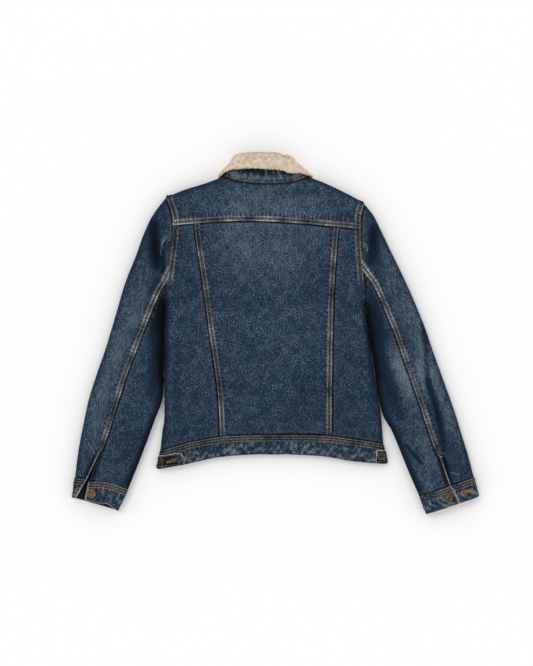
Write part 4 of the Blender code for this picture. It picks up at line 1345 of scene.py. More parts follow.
def finish_band(cloth: Cloth, seed: int) -> None:
    """Three rows of stitches along a band's top, roping below them, and a worn free edge with painted shade.

    Args:
        cloth: The band, with its sewn edge as the first row.
        seed: Which unevenness it has.
    """
    cloth.add_seam(Edge.TOP, BAND, seed)
    distance, run = reach(cloth.plan, Edge.TOP)
    to_edge = cloth.away(Edge.BOTTOM)
    below = smooth((distance - BAND.rows[-1]) / 4)
    ropes = np.sin(2 * math.pi * (run + 0.9 * distance) / 14 + 6 * noise(run, distance, 28, seed + 1))
    swell = below * (1.2 + 0.55 * ropes * smooth(to_edge / 6))
    cloth.relief = cloth.relief + swell - 1.5 * (1 - quarter(to_edge / 1.8))
    spots = 0.8 * noise(run, distance, 6.5, seed + 2) + 0.5 * noise(run, distance, 3.2, seed + 4)
    patches = smooth(0.25 + 0.35 * ropes + spots)
    edge = bell(to_edge - 1.0, 1.0) * smooth(0.4 + 1.5 * noise(run, distance, 4, seed + 3))
    cloth.wear = np.maximum(cloth.wear, np.maximum(0.18 * below * patches, 0.7 * edge))
    # Roping patches lighter; painted shade along the free edge, where the band rolls under.
    cloth.tone = cloth.tone + below * (1.2 * patches - 0.2) - 2.3 * near(to_edge, 3.5)


@dataclass
class Body:
    """The trunk: yoke, back, hem band, fronts and plackets."""

    left: Outline
    right: Outline
    finishes: Finishes
    step: float = 2.2  # spacing of the columns
    row_step: float = 2.3
    under_step: float = 4.5  # and of both on the parts that lie underneath
    thread: Thread = field(default_factory=Thread)

    def __post_init__(self) -> None:
        """Draws the seam lines that cross the body."""
        self.lay = Lay(self.left.body_folds() + self.right.body_folds())
        lines = (YOKE_SEAM, HEM_TOP, HEM_BOTTOM, BACK_NECK)
        self.yoke_seam, self.hem_top, self.hem_bottom, self.neck = (curve(line, 16) for line in lines)
        self.skins = (self.finishes.denim, self.finishes.lining_and_slit_shade)
        self.stitches: list = []

    def lift(self, plan: Array, facing: Facing = Facing.UP) -> Array:
        """Points of the body over plan points."""
        x, y = plan[..., 0], plan[..., 1]
        return self.lay.lift(plan, body_high(x, y), body_low(x, y), facing)

    def cloth(self, plan: Array, facing: Facing = Facing.UP) -> Cloth:
        """A panel of the body over plan points.

        Args:
            plan: The plan points.
            facing: Which way it looks.

        Returns:
            The panel.
        """
        cloth = Cloth(plan, self.lift(plan, facing), facing)
        # Painted shade at the folds.
        cloth.tone += self.lay.shade(plan)
        return cloth

    def stitch(
        self, cloth: Cloth, edge: Edge, rows: Sequence, start: float = 3.0, stop: float = math.inf
    ) -> None:
        """Rows of topstitches along one edge of a finished panel."""
        self.stitches += [self.thread.lay(*cloth.line_at(edge, row), start, stop) for row in rows]

    def build_yoke(self) -> None:
        """The back yoke, which laps over the back panels and the sleeves."""
        drop = np.array([0, -LAP])
        arms = (self.left.armhole, self.right.armhole)
        arms = [cut(arm, arm[0], self.yoke_seam[end]) for arm, end in zip(arms, (0, -1))]
        edges = [np.vstack([arm, arm[-1] + drop]) for arm in arms]
        depth = lengths(edges[0])[-1]
        down = spaced(depth, self.row_step, ROLL, LAPPED) / depth
        top = np.vstack([self.left.shoulder, self.neck[1:], self.right.shoulder[::-1][1:]])
        across = np.tile(columns(lengths(top)[-1:], self.step, LAPPED, LAPPED), (len(down), 1))
        left, right = (at_shares(edge, down) for edge in edges)
        cloth = self.cloth(patch(left, right, top, self.yoke_seam + drop, down, across))
        cloth.add_seam(Edge.BOTTOM, YOKE, 11)
        from_fold = smooth(cloth.away(Edge.TOP) / 12)
        cloth.add_seam(Edge.LEFT, ARMHOLE, 12, from_fold)
        cloth.add_seam(Edge.RIGHT, ARMHOLE, 13, from_fold)
        # Painted shadow of the collar along the neck seam, where the yoke also dips.
        foot = near(nearest(cloth.plan, self.neck, 12.0), 5.0)
        cloth.tone -= 1.6 * foot
        cloth.relief -= 0.5 * foot
        cloth.press()
        self.stitch(cloth, Edge.BOTTOM, YOKE.rows)
        self.stitch(cloth, Edge.LEFT, ARMHOLE.rows, 9.0)
        self.stitch(cloth, Edge.RIGHT, ARMHOLE.rows, 9.0)
        cloth.build("back_yoke", self.skins, (0.40, 0.115), ("front_yoke_left", "front_yoke_right"), 0.036)

    def build_side_panel(self, outline: Outline) -> None:
        """A side back panel, from the armhole and the flank to the seam with the centre panel.

        Args:
            outline: The side that it is on.
        """
        sign, name = outline.side.sign, outline.side.name
        armpit = outline.armhole[-1]
        arm = cut(outline.armhole, outline.from_here(self.yoke_seam)[0], armpit)
        edge = np.vstack([arm, outline.flank[1:]])
        down = np.linspace(0, 1, round(lengths(edge)[-1] / self.row_step))
        outer = at_shares(edge, down)
        inner = offset(at_shares(outline.back_seam, down), sign * TUCK / 2)
        widths = np.linalg.norm(inner - outer, axis=1)
        across = columns(widths, self.step, LAPPED[:9] + tuple(ROLL[7:]), TUCKED)
        top = np.array([outer[0], inner[0]])
        bottom = cut(outline.from_here(self.hem_top), outer[-1], inner[-1])
        cloth = self.cloth(patch(outer, inner, top, bottom, down, across))
        from_top, from_bottom = cloth.away(Edge.TOP), cloth.away(Edge.BOTTOM)
        beside_arm = smooth((cloth.plan[..., 1] - armpit[1] - 24) / 30)
        between = smooth((from_top - 3) / 3) * smooth((from_bottom - 1) / 3)
        cloth.add_seam(Edge.LEFT, ARMHOLE, 21 + sign, beside_arm * smooth((from_top - 4) / 4))
        cloth.shade_under(Edge.RIGHT, LAP + TUCK / 2, 24 + sign, between)
        cloth.shade_under(Edge.TOP, LAP, 27 + sign)
        cloth.shade_under(Edge.BOTTOM, 1.0, 30 + sign)
        cloth.press()
        self.stitch(cloth, Edge.LEFT, ARMHOLE.rows, 5.0, lengths(arm)[-1] - 40)
        under = [f"front_panel_high_{name}", f"front_panel_low_{name}"]
        cloth.build(f"back_panel_{name}", self.skins, (0.12, 0.43), under, 0.036)

    def build_centre_panel(self) -> None:
        """The centre back panel, which laps over both side panels."""
        long = lengths(self.left.back_seam)[-1]
        down = np.linspace(0, 1, round(long / self.row_step))
        left = offset(at_shares(self.left.back_seam, down), LAP)
        right = offset(at_shares(self.right.back_seam, down), -LAP)
        across = columns(np.linalg.norm(right - left, axis=1), self.step, LAPPED, LAPPED)
        top, bottom = cut(self.yoke_seam, left[0], right[0]), cut(self.hem_top, left[-1], right[-1])
        cloth = self.cloth(patch(left, right, top, bottom, down, across))
        between = smooth((cloth.away(Edge.TOP) - 4) / 4) * smooth((cloth.away(Edge.BOTTOM) - 1) / 4)
        for edge, seed in ((Edge.LEFT, 41), (Edge.RIGHT, 42)):
            cloth.add_seam(edge, SEAM, seed, between)
        cloth.shade_under(Edge.TOP, LAP, 43)
        cloth.shade_under(Edge.BOTTOM, 1.0, 44)
        cloth.press()
        for edge in (Edge.LEFT, Edge.RIGHT):
            self.stitch(cloth, edge, SEAM.rows, 6.0, long - 3)
        under = ("front_panel_high_left", "front_panel_low_right")
        cloth.build("back_panel_centre", self.skins, (0.28, 0.42), under, 0.093)

    def build_hem_back(self) -> None:
        """The back of the hem band, lapped over the panels above it."""
        top, bottom = self.hem_top + np.array([0, 1.5]), self.hem_bottom
        depth = np.linalg.norm(top[0] - bottom[0])
        down = spaced(depth, 2.0, LAPPED, HEMMED) / depth
        across = np.tile(columns(lengths(top)[-1:], self.step, ROLL, ROLL), (len(down), 1))
        left, right = (line_down(top[k], bottom[k], down) for k in (0, -1))
        self.hem = self.cloth(patch(left, right, top, bottom, down, across))
        finish_band(self.hem, 51)
        self.hem.press()
        self.stitch(self.hem, Edge.TOP, BAND.rows, 4.0)
        under = ("hem_band_front_left", "hem_band_front_right")
        self.hem.build("hem_band_back", self.skins, (0.46, 0.04), under, 0.0172, BAND_THICK)

    def build_front(self, outline: Outline) -> None:
        """A front with its part of the hem band, which both lie underneath.

        Args:
            outline: The side that it is on.
        """
        sign, name = outline.side.sign, outline.side.name
        edge = np.vstack([outline.armhole, outline.flank[1:]])
        levels = np.array([CENTRE_TOP[1], FRONT_SEAM_Y, CENTRE_BOTTOM[1]])
        closing = np.stack([centre_x(levels) + sign * (PLACKET_WIDTH / 2 - 3), levels], axis=1)
        depth = lengths(edge)[-1]
        down = spaced(depth, self.under_step, ROLL, PLAIN) / depth
        left, right = at_shares(edge, down), line_down(closing[0], closing[1], down)
        across = columns(np.linalg.norm(right - left, axis=1), self.under_step, ROLL, PLAIN)
        top = np.vstack([outline.shoulder, outline.front_neck[1:-1], closing[0]])
        seam, hem = (
            np.vstack([cut(outline.from_here(line), start, end)[:-1], end])
            for line, start, end in (
                (self.hem_top, edge[-1], closing[1]), (self.hem_bottom, outline.side.hem_corner, closing[2]),
            )
        )
        cloth = self.cloth(patch(left, right, top, seam, down, across), Facing.DOWN)
        beside_flank = smooth((cloth.plan[..., 1] - outline.armhole[-1, 1]) / 14)
        cloth.add_seam(Edge.LEFT, HIDDEN, 61 + sign, beside_flank)
        cloth.press()
        nodes = [f"front_{part}_{name}" for part in ("yoke", "panel_high", "panel_low")]
        under = [f"placket_{name}"]
        cloth.build(f"front_{name}", self.skins, (0.21, 0.52), under, 0.084, nodes=nodes)
        share = np.linspace(0, 1, 15)
        left, right = line_down(seam[0], hem[0], share), line_down(seam[-1], hem[-1], share)
        across = np.tile(columns(lengths(seam)[-1:], 3.0, ROLL, PLAIN), (len(share), 1))
        band = self.cloth(patch(left, right, seam, hem, share, across), Facing.DOWN)
        finish_band(band, 64 + sign)
        band.press()
        band.build(f"hem_band_front_{name}", self.skins, (0.22, 0.04), under, 0.0078, BAND_THICK)

    def build_plackets(self) -> None:
        """The closed front edges: the right one outside with the buttons, the left one behind it."""
        heights = np.linspace(CENTRE_TOP[1], CENTRE_BOTTOM[1], 181)
        half = PLACKET_WIDTH / 2
        for name, start, layer in (("right", -half, 0), ("left", -half - PLACKET_LAP, 1)):
            across = start + spaced(half - start, 2.4, LAPPED[:8], LAPPED[:8])
            x, y = centre_x(heights)[:, None] + across, heights[:, None]
            plan = np.stack(np.broadcast_arrays(x, y), axis=2)
            cloth = self.cloth(plan, Facing.DOWN)
            cloth.add_seam(Edge.LEFT, HIDDEN, 71 + layer)
            cloth.add_seam(Edge.RIGHT, HIDDEN, 73 + layer)
            cloth.relief = cloth.relief - layer * (PLACKET_AIR + DENIM_THICK + 1.0) - (1 - layer) * 0.4
            cloth.press()
            if not layer:
                self.stitch(cloth, Edge.LEFT, HIDDEN.rows)
                self.stitch(cloth, Edge.RIGHT, HIDDEN.rows)
                self.placket = cloth
            flat, under = ((half - start) * MM, 0.449), [f"front_panel_high_{name}"]
            cloth.build(f"placket_{name}", self.skins, flat, under, thickness=2.0)

    def build_stitches(self) -> None:
        """The topstitching of the trunk as one object."""
        dress(bead_object("body_topstitching", self.stitches, self.finishes.thread))


@dataclass
class Sleeve:
    """A two-piece sleeve that lies flattened, with its slit and its cuff."""

    outline: Outline
    finishes: Finishes
    step: float = 2.2  # spacing of the columns
    under_step: float = 3.6  # and on its underside
    ease_rows: int = 6  # rows above the slit over which the lap opens
    under_body: float = 4.0  # how far the sleeve's head goes under the body's edge
    under_cuff: float = 3.0  # and its lower end under the cuff's
    thread: Thread = field(default_factory=Thread)

    def __post_init__(self) -> None:
        """Reads the rows of the sleeve from its outline."""
        one = self.outline
        self.side, self.sign = one.side, one.side.sign
        self.skins = (self.finishes.denim, self.finishes.lining_and_slit_shade)
        self.lay = Lay([one.outer_fold, one.inner_fold])
        row = np.arange(len(one.outer))
        high = BODY_LOFT + (CUFF_LOFT - BODY_LOFT) * smooth(row / row[-1])
        self.closed = smooth((self.side.slit_section * one.row_steps - row) / self.ease_rows)
        # Two more rows at both ends lie under the body and under the cuff.
        self.high, self.lapped = (np.pad(rows, 2, mode="edge")[:, None] for rows in (high, self.closed))
        self.stitches: list = []

    def panel(
        self, left: Array, right: Array, step: float, start: Sequence, end: Sequence,
        facing: Facing = Facing.UP,
    ) -> Cloth:
        """A panel between two edges of the sleeve, from under the body to under the cuff.

        Args:
            left: Its left edge, a point for each row.
            right: Its right edge.
            step: Spacing of its columns.
            start: Distances of the first columns from the left edge.
            end: Distances of the last columns from the right edge.
            facing: Which way it looks.

        Returns:
            The cloth, in painted shade at its folds, and more so and a little fuller beside the body.
        """
        top = cut(self.outline.armhole, left[0], right[0])
        across = columns(np.linalg.norm(right - left, axis=1), step, start, end)
        plan = patch(left, right, top, np.array([left[-1], right[-1]]), np.linspace(0, 1, len(left)), across)
        plan = extended(extended(plan, Edge.TOP, self.under_body), Edge.BOTTOM, self.under_cuff)
        cloth = Cloth(plan, self.lay.lift(plan, self.high, 0.0, facing), facing)
        inner = nearest(plan, self.outline.inner_fold, 16.0)
        # Painted shade at the folds, and a wider band of it along the inner fold beside the body.
        cloth.tone = cloth.tone + self.lay.shade(plan) - 1.4 * near(inner, 14)
        cloth.relief += 0.7 * near(inner, 4)
        return cloth

    def build(self) -> None:
        """The upper sleeve, which goes round the outer fold, and the under sleeve beside it."""
        one, sign, name = self.outline, self.sign, self.side.name
        over_edge = offset(one.upper, sign * (LAP * self.closed + 0.1))
        over = self.panel(one.outer, over_edge, self.step, ROLL, LAPPED)
        below = self.panel(one.outer, one.inner, self.under_step, ROLL, ROLL, Facing.DOWN)
        tuck_edge = offset(one.under, -sign * TUCK / 2 * self.closed)
        under = self.panel(tuck_edge, one.inner, self.step, TUCKED, ROLL)
        parted = 1 - self.lapped
        over.add_seam(Edge.RIGHT, SLEEVE_SEAM, 81 + sign, self.lapped)
        # Beside the parted slit, painted shade of the opening.
        over.tone -= 2.0 * near(over.away(Edge.RIGHT) - 3, 8) * parted
        over.fray(Edge.RIGHT, 83 + sign, 1.3, parted)
        under.shade_under(Edge.LEFT, LAP + TUCK / 2, 85 + sign, self.lapped)
        under.fray(Edge.LEFT, 87 + sign, 0.2, parted)
        # Beside the parted slit, painted shade of the opening.
        under.tone -= 3.0 * near(under.away(Edge.LEFT), 10) * parted
        for cloth in (over, below, under):
            # Painted shadow where the sleeve goes under the body's edge and under the cuff.
            cloth.shade_under(Edge.TOP, self.under_body, 89 + sign)
            cloth.shade_under(Edge.BOTTOM, self.under_cuff + 0.5, 92 + sign)
            tucked = smooth(self.under_body - cloth.away(Edge.TOP))
            tucked += smooth(self.under_cuff - cloth.away(Edge.BOTTOM))
            cloth.relief = cloth.relief * (1 - tucked) - 0.5 * tucked
            cloth.press()
        stop = lengths(over_edge)[int(self.side.slit_section * one.row_steps) - 3]
        lines = [over.line_at(Edge.RIGHT, row) for row in SLEEVE_SEAM.rows]
        self.stitches += [self.thread.lay(*line, 8.0, stop) for line in lines]
        self.over = over
        high, low, beside = (f"sleeve_{name}_{part}" for part in ("upper_high", "upper_low", "under"))
        upper = joined([over.turned(), below])
        upper.build(f"sleeve_{name}_upper", self.skins, (0.27, 0.58), [beside], 0.115, nodes=[high, low])
        under.build(beside, self.skins, (0.10, 0.56), [low], 0.036)

    def build_cuff(self) -> None:
        """The cuff in one piece: its top on both sides of the slit, and its underside."""
        cuff, name, sign = self.side.cuff, self.side.name, self.sign
        depth = float(np.linalg.norm(np.subtract(*cuff.outer)))
        down = (spaced(depth + 1.5, 2.0, LAPPED, HEMMED) - 1.5) / depth
        edges = (cuff.outer, cuff.upper, cuff.under, cuff.inner)
        outer, upper, under, inner = (line_down(*ends, down) for ends in edges)
        cloths = []
        for left, right, start, end, facing, bow in (
            (outer, upper, ROLL, PLAIN, Facing.UP, 0.0),
            (outer, inner, ROLL, ROLL, Facing.DOWN, 0.0),
            (under, inner, PLAIN, ROLL, Facing.UP, cuff.bow),
        ):
            across = columns(np.linalg.norm(right - left, axis=1), self.step, start, end)
            plan = left[:, None] * (1 - across[..., None]) + right[:, None] * across[..., None]
            bottom = np.interp(across, (0, 0.33, 0.55, 0.68, 0.8, 1), (0, 0.27, 0.5, 1, 0.75, 0))
            ease = smooth((down[:, None] - 0.2) / 0.8)
            plan[..., 1] += bow * (0.68 * np.sin(math.pi * across) * (1 - ease) + bottom * ease)
            cloth = Cloth(plan, self.lay.lift(plan, CUFF_LOFT + 1.0, 0.0, facing), facing)
            finish_band(cloth, 101 + 7 * len(cloths) + sign)
            cloths.append(cloth)
        over, below, flap = cloths
        over.fray(Edge.RIGHT, 131 + sign, 1.8)
        over.fray(Edge.BOTTOM, 132 + sign, 0.9)
        flap.fray(Edge.LEFT, 133 + sign, 1.5 if sign < 0 else 0.5)
        flap.fray(Edge.BOTTOM, 134 + sign, 1.2)
        # On the right cuff, painted shadow along the flap's edge, under the upper part.
        if sign > 0:
            flap.tone -= 3.0 * near(flap.away(Edge.LEFT), 9)
        for cloth in cloths:
            cloth.press()
        for cloth, edge in ((over, Edge.RIGHT), (flap, Edge.LEFT)):
            self.stitches += [self.thread.lay(*cloth.line_at(Edge.TOP, row), 2.0) for row in BAND.rows]
            self.stitches.append(self.thread.lay(*cloth.line_at(edge, 2.4), 12.0))
        self.cuff_over, self.cuff_flap = over, flap
        whole, under = joined([over.turned(), below, flap.turned()]), [f"sleeve_{name}_upper_low"]
        whole.build(f"cuff_{name}", self.skins, (0.24, 0.038), under, thickness=BAND_THICK)

    def build_stitches(self) -> None:
        """The topstitching of the sleeve as one object."""
        dress(bead_object(f"sleeve_{self.side.name}_topstitching", self.stitches, self.finishes.thread))


# At distances along the neck seam from a shoulder: the way that the collar faces, as an angle up
# from level, how far its stand leans in and reaches up, and how far its fall does.
COLLAR_BACKS = {
    -1: (
        (0, 0, 25, 30, -25, -27), (2.4, 30, 23, 33, -18, -23), (9, 60, 20, 37, -10, -19),
        (18, 90, 15, 39.5, -6, -17), (45, 90, 6, 47, -2, -16), (80, 90, 0, 49.5, 0, -16),
    ),
    1: (
        (0, 0, 33, 30, -34, -27), (2.4, 30, 31, 32, -26, -24), (9, 60, 28, 36, -14, -19),
        (18, 90, 24, 38, -8, -17), (45, 90, 8, 47, -2, -16), (80, 90, 0, 49.5, 0, -16),
    ),
}
COLLAR_FRONTS = {
    -1: (
        (0, 0, 25, 30, -25, -27), (2.4, -30, 23, 28, -23, -24), (9, -60, 19, 26, -34, -27),
        (18, -90, 15, 22, -42, -33), (47, -90, 10, 13, -50, -28), (76, -90, 8, 10, -56, -47),
        (105, -90, 2, 9, -52, -69),
    ),
    1: (
        (0, 0, 33, 30, -34, -27), (2.4, -30, 30, 28, -31, -24), (9, -60, 25, 26, -40, -27),
        (18, -90, 17, 22, -44, -33), (47, -90, 10, 13, -50, -28), (76, -90, 8, 10, -56, -47),
        (105, -90, 2, 9, -52, -69),
    ),
}


@dataclass
class Collar:
    """The fold-over collar: a denim under collar, and a sherpa top collar in one piece with its stand."""

    body: Body
    finishes: Finishes
    denim: float = 2.0
    pile: float = 5.0
    layer_gap: float = 0.6
    fold_air: float = 1.8
    widens: float = 6.0
    step: float = 2.0
    curls: int = 6500
    curl_length: float = 2.9
    curl_width: float = 1.25

    def __post_init__(self) -> None:
        """Places a station every step along the neck seam, from one front edge to the other."""
        body, half = self.body, lengths(self.body.neck)[-1] / 2
        backs = np.linspace(0, half, round(half / self.step))
        stations = []
        for line, marks, table, sign, facing in (
            (body.right.front_neck, None, COLLAR_FRONTS[1], 1, Facing.DOWN),
            (body.neck[::-1], backs, COLLAR_BACKS[1], 1, Facing.UP),
            (body.neck, backs, COLLAR_BACKS[-1], -1, Facing.UP),
            (body.left.front_neck, None, COLLAR_FRONTS[-1], -1, Facing.DOWN),
        ):
            if marks is None:
                marks = np.linspace(0, lengths(line)[-1], round(lengths(line)[-1] / self.step / 1.5))
            plan = along(line, marks)
            values = curve(table, 8)
            angle, stand_in, stand_up, fall_in, fall_up = (
                np.interp(marks, values[:, 0], column) for column in values[:, 1:].T
            )
            turn = np.radians(angle)
            if facing is Facing.UP:
                from_left = np.linalg.norm(plan - body.neck[0], axis=1) / half / 2
                fall_up -= self.widens * from_left * np.sin(turn) ** 2
            level = np.zeros_like(turn)
            stations.append(np.stack([
                body.lift(plan[None], facing)[0],
                np.stack([-sign * stand_in, stand_up, level], axis=1),
                np.stack([-sign * fall_in, fall_up, level], axis=1),
                np.stack([sign * np.cos(turn), level, np.sin(turn)], axis=1),
            ]))
        first, second, third, fourth = stations
        order = [first[:, :0:-1], second, third[:, -2::-1], fourth[:, 1:]]
        self.point, self.stand, self.fall, self.outward = np.concatenate(order, axis=1)
        self.run = lengths(self.point)
        self.top = self.point + self.stand

    def face(self, depth: float) -> Array:
        """The face that lies this deep behind the stand's outer face: up the stand, round the top
        in half a circle, and down the fall.

        Args:
            depth: Distance behind the stand's outer face.

        Returns:
            Rows by stations by x, y and z.
        """
        square = unit(self.stand - np.sum(self.stand * self.outward, axis=1)[:, None] * self.outward)
        air = self.fold_air / 2
        behind = self.outward * depth
        rows = [self.point + self.stand * share - behind for share in np.linspace(0, 1, 15)[:-1]]
        for angle in np.radians(np.linspace(-90, 90, 13)):
            outward = self.outward * (air + (air + depth) * math.sin(angle))
            rows.append(self.top + outward + square * (air + depth) * math.cos(angle))
        ahead = self.outward * (2 * air + depth)
        return np.array(rows + [self.top + self.fall * share + ahead for share in np.linspace(0, 1, 11)[1:]])

    def build_under(self) -> None:
        """The denim under collar, whose stand shows between the yoke and the fall."""
        points = self.face(0.0)
        up = lengths(points)
        plan = np.dstack([np.broadcast_to(self.run, up.shape), -up])
        middle = len(self.run) // 2
        normal = grid_normals(points)[1, middle]
        cloth = Cloth(plan, points, Facing.UP, float(np.sign(normal @ self.outward[middle])))
        run = plan[..., 0]
        # Streaks along the stand: painted light and shade of its wrinkles.
        cloth.tone = 0.5 * noise(run, up * 0.25, 4.5, 141) + 0.25 * noise(run, up, 12, 142)
        # Darker up the stand: painted shadow of the fall over it.
        cloth.tone = cloth.tone + 0.7 - 1.9 * smooth((up - 9) / 12)
        cloth.relief = 0.5 * noise(run, up * 0.5, 16, 143) + 0.25 * noise(run, up, 7, 144)
        cloth.wear = 0.35 * smooth(noise(run, up * 0.3, 4, 145) * 1.8 - 0.2)
        cloth.add_seam(Edge.TOP, NECK_SEAM, 146)
        cloth.press()
        cloth.build("collar_under", self.body.skins, (0.37, 0.09), ("back_yoke",), 0.031, self.denim)
        rows = [Thread().lay(*cloth.line_at(Edge.TOP, NECK_SEAM.rows[0]), 2.0)]
        dress(bead_object("collar_topstitching", rows, self.finishes.neck_thread))

    def build_sherpa(self) -> None:
        """The pile: a thick ring of matted cloth round each station, then curls all over it."""
        inner = self.denim + self.layer_gap
        half = self.pile / 2
        ahead = unit(self.fall)
        heart = self.top + self.fall + self.outward * (self.fold_air + inner + half)
        rim = [
            heart + half * (ahead * math.cos(turn) + self.outward * math.sin(turn))
            for turn in np.radians((60, 30, 0, -30, -60))
        ]
        outer, back = self.face(inner + self.pile), self.face(inner)
        ring = np.concatenate([outer, rim, back[::-1]])
        count = len(outer) + len(rim)
        down = lengths(ring)
        run = np.broadcast_to(self.run, down.shape)
        middle = len(self.run) // 2
        normals = grid_normals(ring)
        handed = float(np.sign(normals[len(outer) - 4, middle] @ self.outward[middle]))
        normals *= handed
        # The pile's face is uneven, and its back, on the denim, less so.
        share = np.where(np.arange(len(ring)) < count, 1.0, 0.25)[:, None]
        rises = (0.9 * noise(run, down, 6.0, 151) + 0.5 * noise(run, down, 3.2, 152)) * share
        ring += normals * rises[..., None]
        ring[..., 2] = np.maximum(ring[..., 2], 0.0)
        stations, around = len(self.run), len(ring)
        last = (stations - 1) * around
        ends = np.array([np.arange(around), np.arange(around)[::-1] + last])
        faces = grid_faces(stations, around, -handed, True).tolist()
        faces += (ends if handed < 0 else ends[:, ::-1]).tolist()
        base = make_object("collar_sherpa_pile", ring.transpose(1, 0, 2), faces, [self.finishes.sherpa])
        dress(base, ["collar_sherpa"], (0.37, 0.095), ("collar_under",))
        shown = slice(len(outer) - 20, count + 2)
        dress(self.curled(ring[shown], normals[shown]))

    def curled(self, face: Array, normals: Array) -> bpy.types.Object:
        """Curls of pile on a face. Each is a blunt cone of three rings of four, bent over one way.

        Args:
            face: Rows by stations by x, y and z.
            normals: The face's unit normals.

        Returns:
            The curls as one object.
        """
        # Places on the face, with more of them on the side that shows
        random = np.random.default_rng(161)
        corner, down, beside = face[:-1, :-1], face[1:, :-1], face[:-1, 1:]
        area = np.linalg.norm(np.cross(down - corner, beside - corner), axis=2)
        weight = area * np.where(corner[..., 2] > BODY_LOFT, 3.0, 1.0)
        chosen = random.choice(weight.size, self.curls, p=(weight / weight.sum()).ravel())
        row, column = np.unravel_index(chosen, weight.shape)
        u, v = random.uniform(0, 1, (2, self.curls, 1))
        root = face[row, column] * (1 - u) * (1 - v) + face[row + 1, column] * u * (1 - v)
        root = root + face[row, column + 1] * (1 - u) * v + face[row + 1, column + 1] * u * v
        # The curl leans the way that the pile is brushed, give or take.
        out = normals[row, column]
        brushed = unit(face[row + 1, column] - face[row, column])
        lean = brushed * 1.2 + random.normal(0, 0.5, (self.curls, 3))
        lean = unit(lean - np.sum(lean * out, axis=1)[:, None] * out)
        aside = np.cross(out, lean)
        size = random.uniform(0.7, 1.25, (self.curls, 1))
        share = np.array([0.0, 0.5, 0.85, 1.0])
        radius = (self.curl_width / 2 * np.array([1.0, 1.0, 0.7, 0.0]))[None, :, None, None]
        turn = (math.pi / 2 * np.arange(4))[None, None, :, None]
        spine = out[:, None] * (0.5 * np.sin(share * 1.9))[None, :, None] * self.curl_length * 0.62
        spine += lean[:, None] * (share**1.3)[None, :, None] * self.curl_length
        bend = share[None, :, None] * 1.2
        bent = np.cos(bend) * lean[:, None] + np.sin(bend) * -out[:, None]
        square = np.cross(aside[:, None], bent)
        rings = aside[:, None, None] * np.cos(turn) + square[:, :, None] * np.sin(turn)
        rings = spine[:, :, None] + radius * rings
        points = root[:, None, None] - out[:, None, None] * 0.4 + rings * size[:, None, None]
        points = np.concatenate([points[:, :3].reshape(self.curls, 12, 3), points[:, 3, :1]], axis=1)
        points[..., 2] = np.maximum(points[..., 2], 0.0)
        here = np.arange(4)
        tips = np.stack([8 + here, np.full(4, 12), 8 + (here + 1) % 4], axis=1)
        faces = [copied(part, self.curls, 13) for part in (grid_faces(3, 4, 1, True), tips, here[None])]
        return make_object("collar_sherpa_curls", points, sum(faces, []), [self.finishes.sherpa])


@dataclass(frozen=True)
class Tab:
    """An adjuster tab of the hem: its corners from the flank to its tip, and its buttons."""

    name: str
    upper_start: tuple
    upper_end: tuple
    tip: tuple
    lower_end: tuple
    lower_start: tuple
    button: tuple
    spare: tuple
    hole: tuple  # its eye and its tail, and the length of its stitches
    tack: tuple  # both ends, the length of the stitches and the distance between them
    long: float  # length of the cut in metres


TABS = (
    Tab(
        "left", (-221, -233.5), (-180, -227), (-172.5, -238), (-173, -250), (-223.6, -257),
        button=(-183, -239), spare=(-160, -231), hole=((-194, -242), (-206.5, -245.5), 1.8),
        tack=((-217, -237), (-214, -255), 1.3, 1.6), long=0.05,
    ),
    Tab(
        "right", (206.5, -223), (192, -221.5), (191, -235), (190, -246.5), (210.7, -247.5),
        button=(200.5, -234), spare=(174, -232), hole=(),
        tack=((206, -234), (206.3, -240.5), 4.0), long=0.024,
    ),
)


def spot_on(cloth: Cloth, places: Sequence, proud: float = 0.0) -> tuple[Array, Array]:
    """Points on a finished cloth over plan places, and its normals there.

    Args:
        cloth: The cloth.
        places: Plan places.
        proud: How far off the cloth.

    Returns:
        The points and the normals.
    """
    places = np.atleast_2d(np.array(places, float))
    grid = cloth.points.reshape(-1, 3)
    gap = np.linalg.norm(places[:, None] - grid[None, :, :2], axis=2)
    closest = np.argmin(gap, axis=1)
    point, normal = grid[closest], cloth.normals.reshape(-1, 3)[closest]
    step = places - point[:, :2]
    height = point[:, 2] - np.sum(step * normal[:, :2], axis=1) / normal[:, 2]
    return np.column_stack([places, height]) + normal * proud, normal


# Rings of a stamped button from its foot to its middle, each with its share of the radius, its share
# of the height and the height of the beads on it: a rolled rim, a ring of beads and a hollow middle
BUTTON_RINGS = np.array((
    (0.86, 0.0, 0), (0.97, 0.2, 0), (1.0, 0.5, 0), (0.98, 0.78, 0), (0.92, 0.95, 0), (0.84, 1.0, 0),
    (0.77, 0.93, 0), (0.72, 0.78, 0), (0.66, 0.74, 0.05), (0.6, 0.74, 0.1), (0.54, 0.74, 0.05),
    (0.46, 0.8, 0), (0.4, 0.84, 0), (0.34, 0.7, 0), (0.26, 0.5, 0), (0.14, 0.46, 0),
))
# Rings in the second finish: rubbed, and lighter also as a painted highlight.
RUBBED_AND_LIT_RINGS = (3, 4, 5, 11, 12)


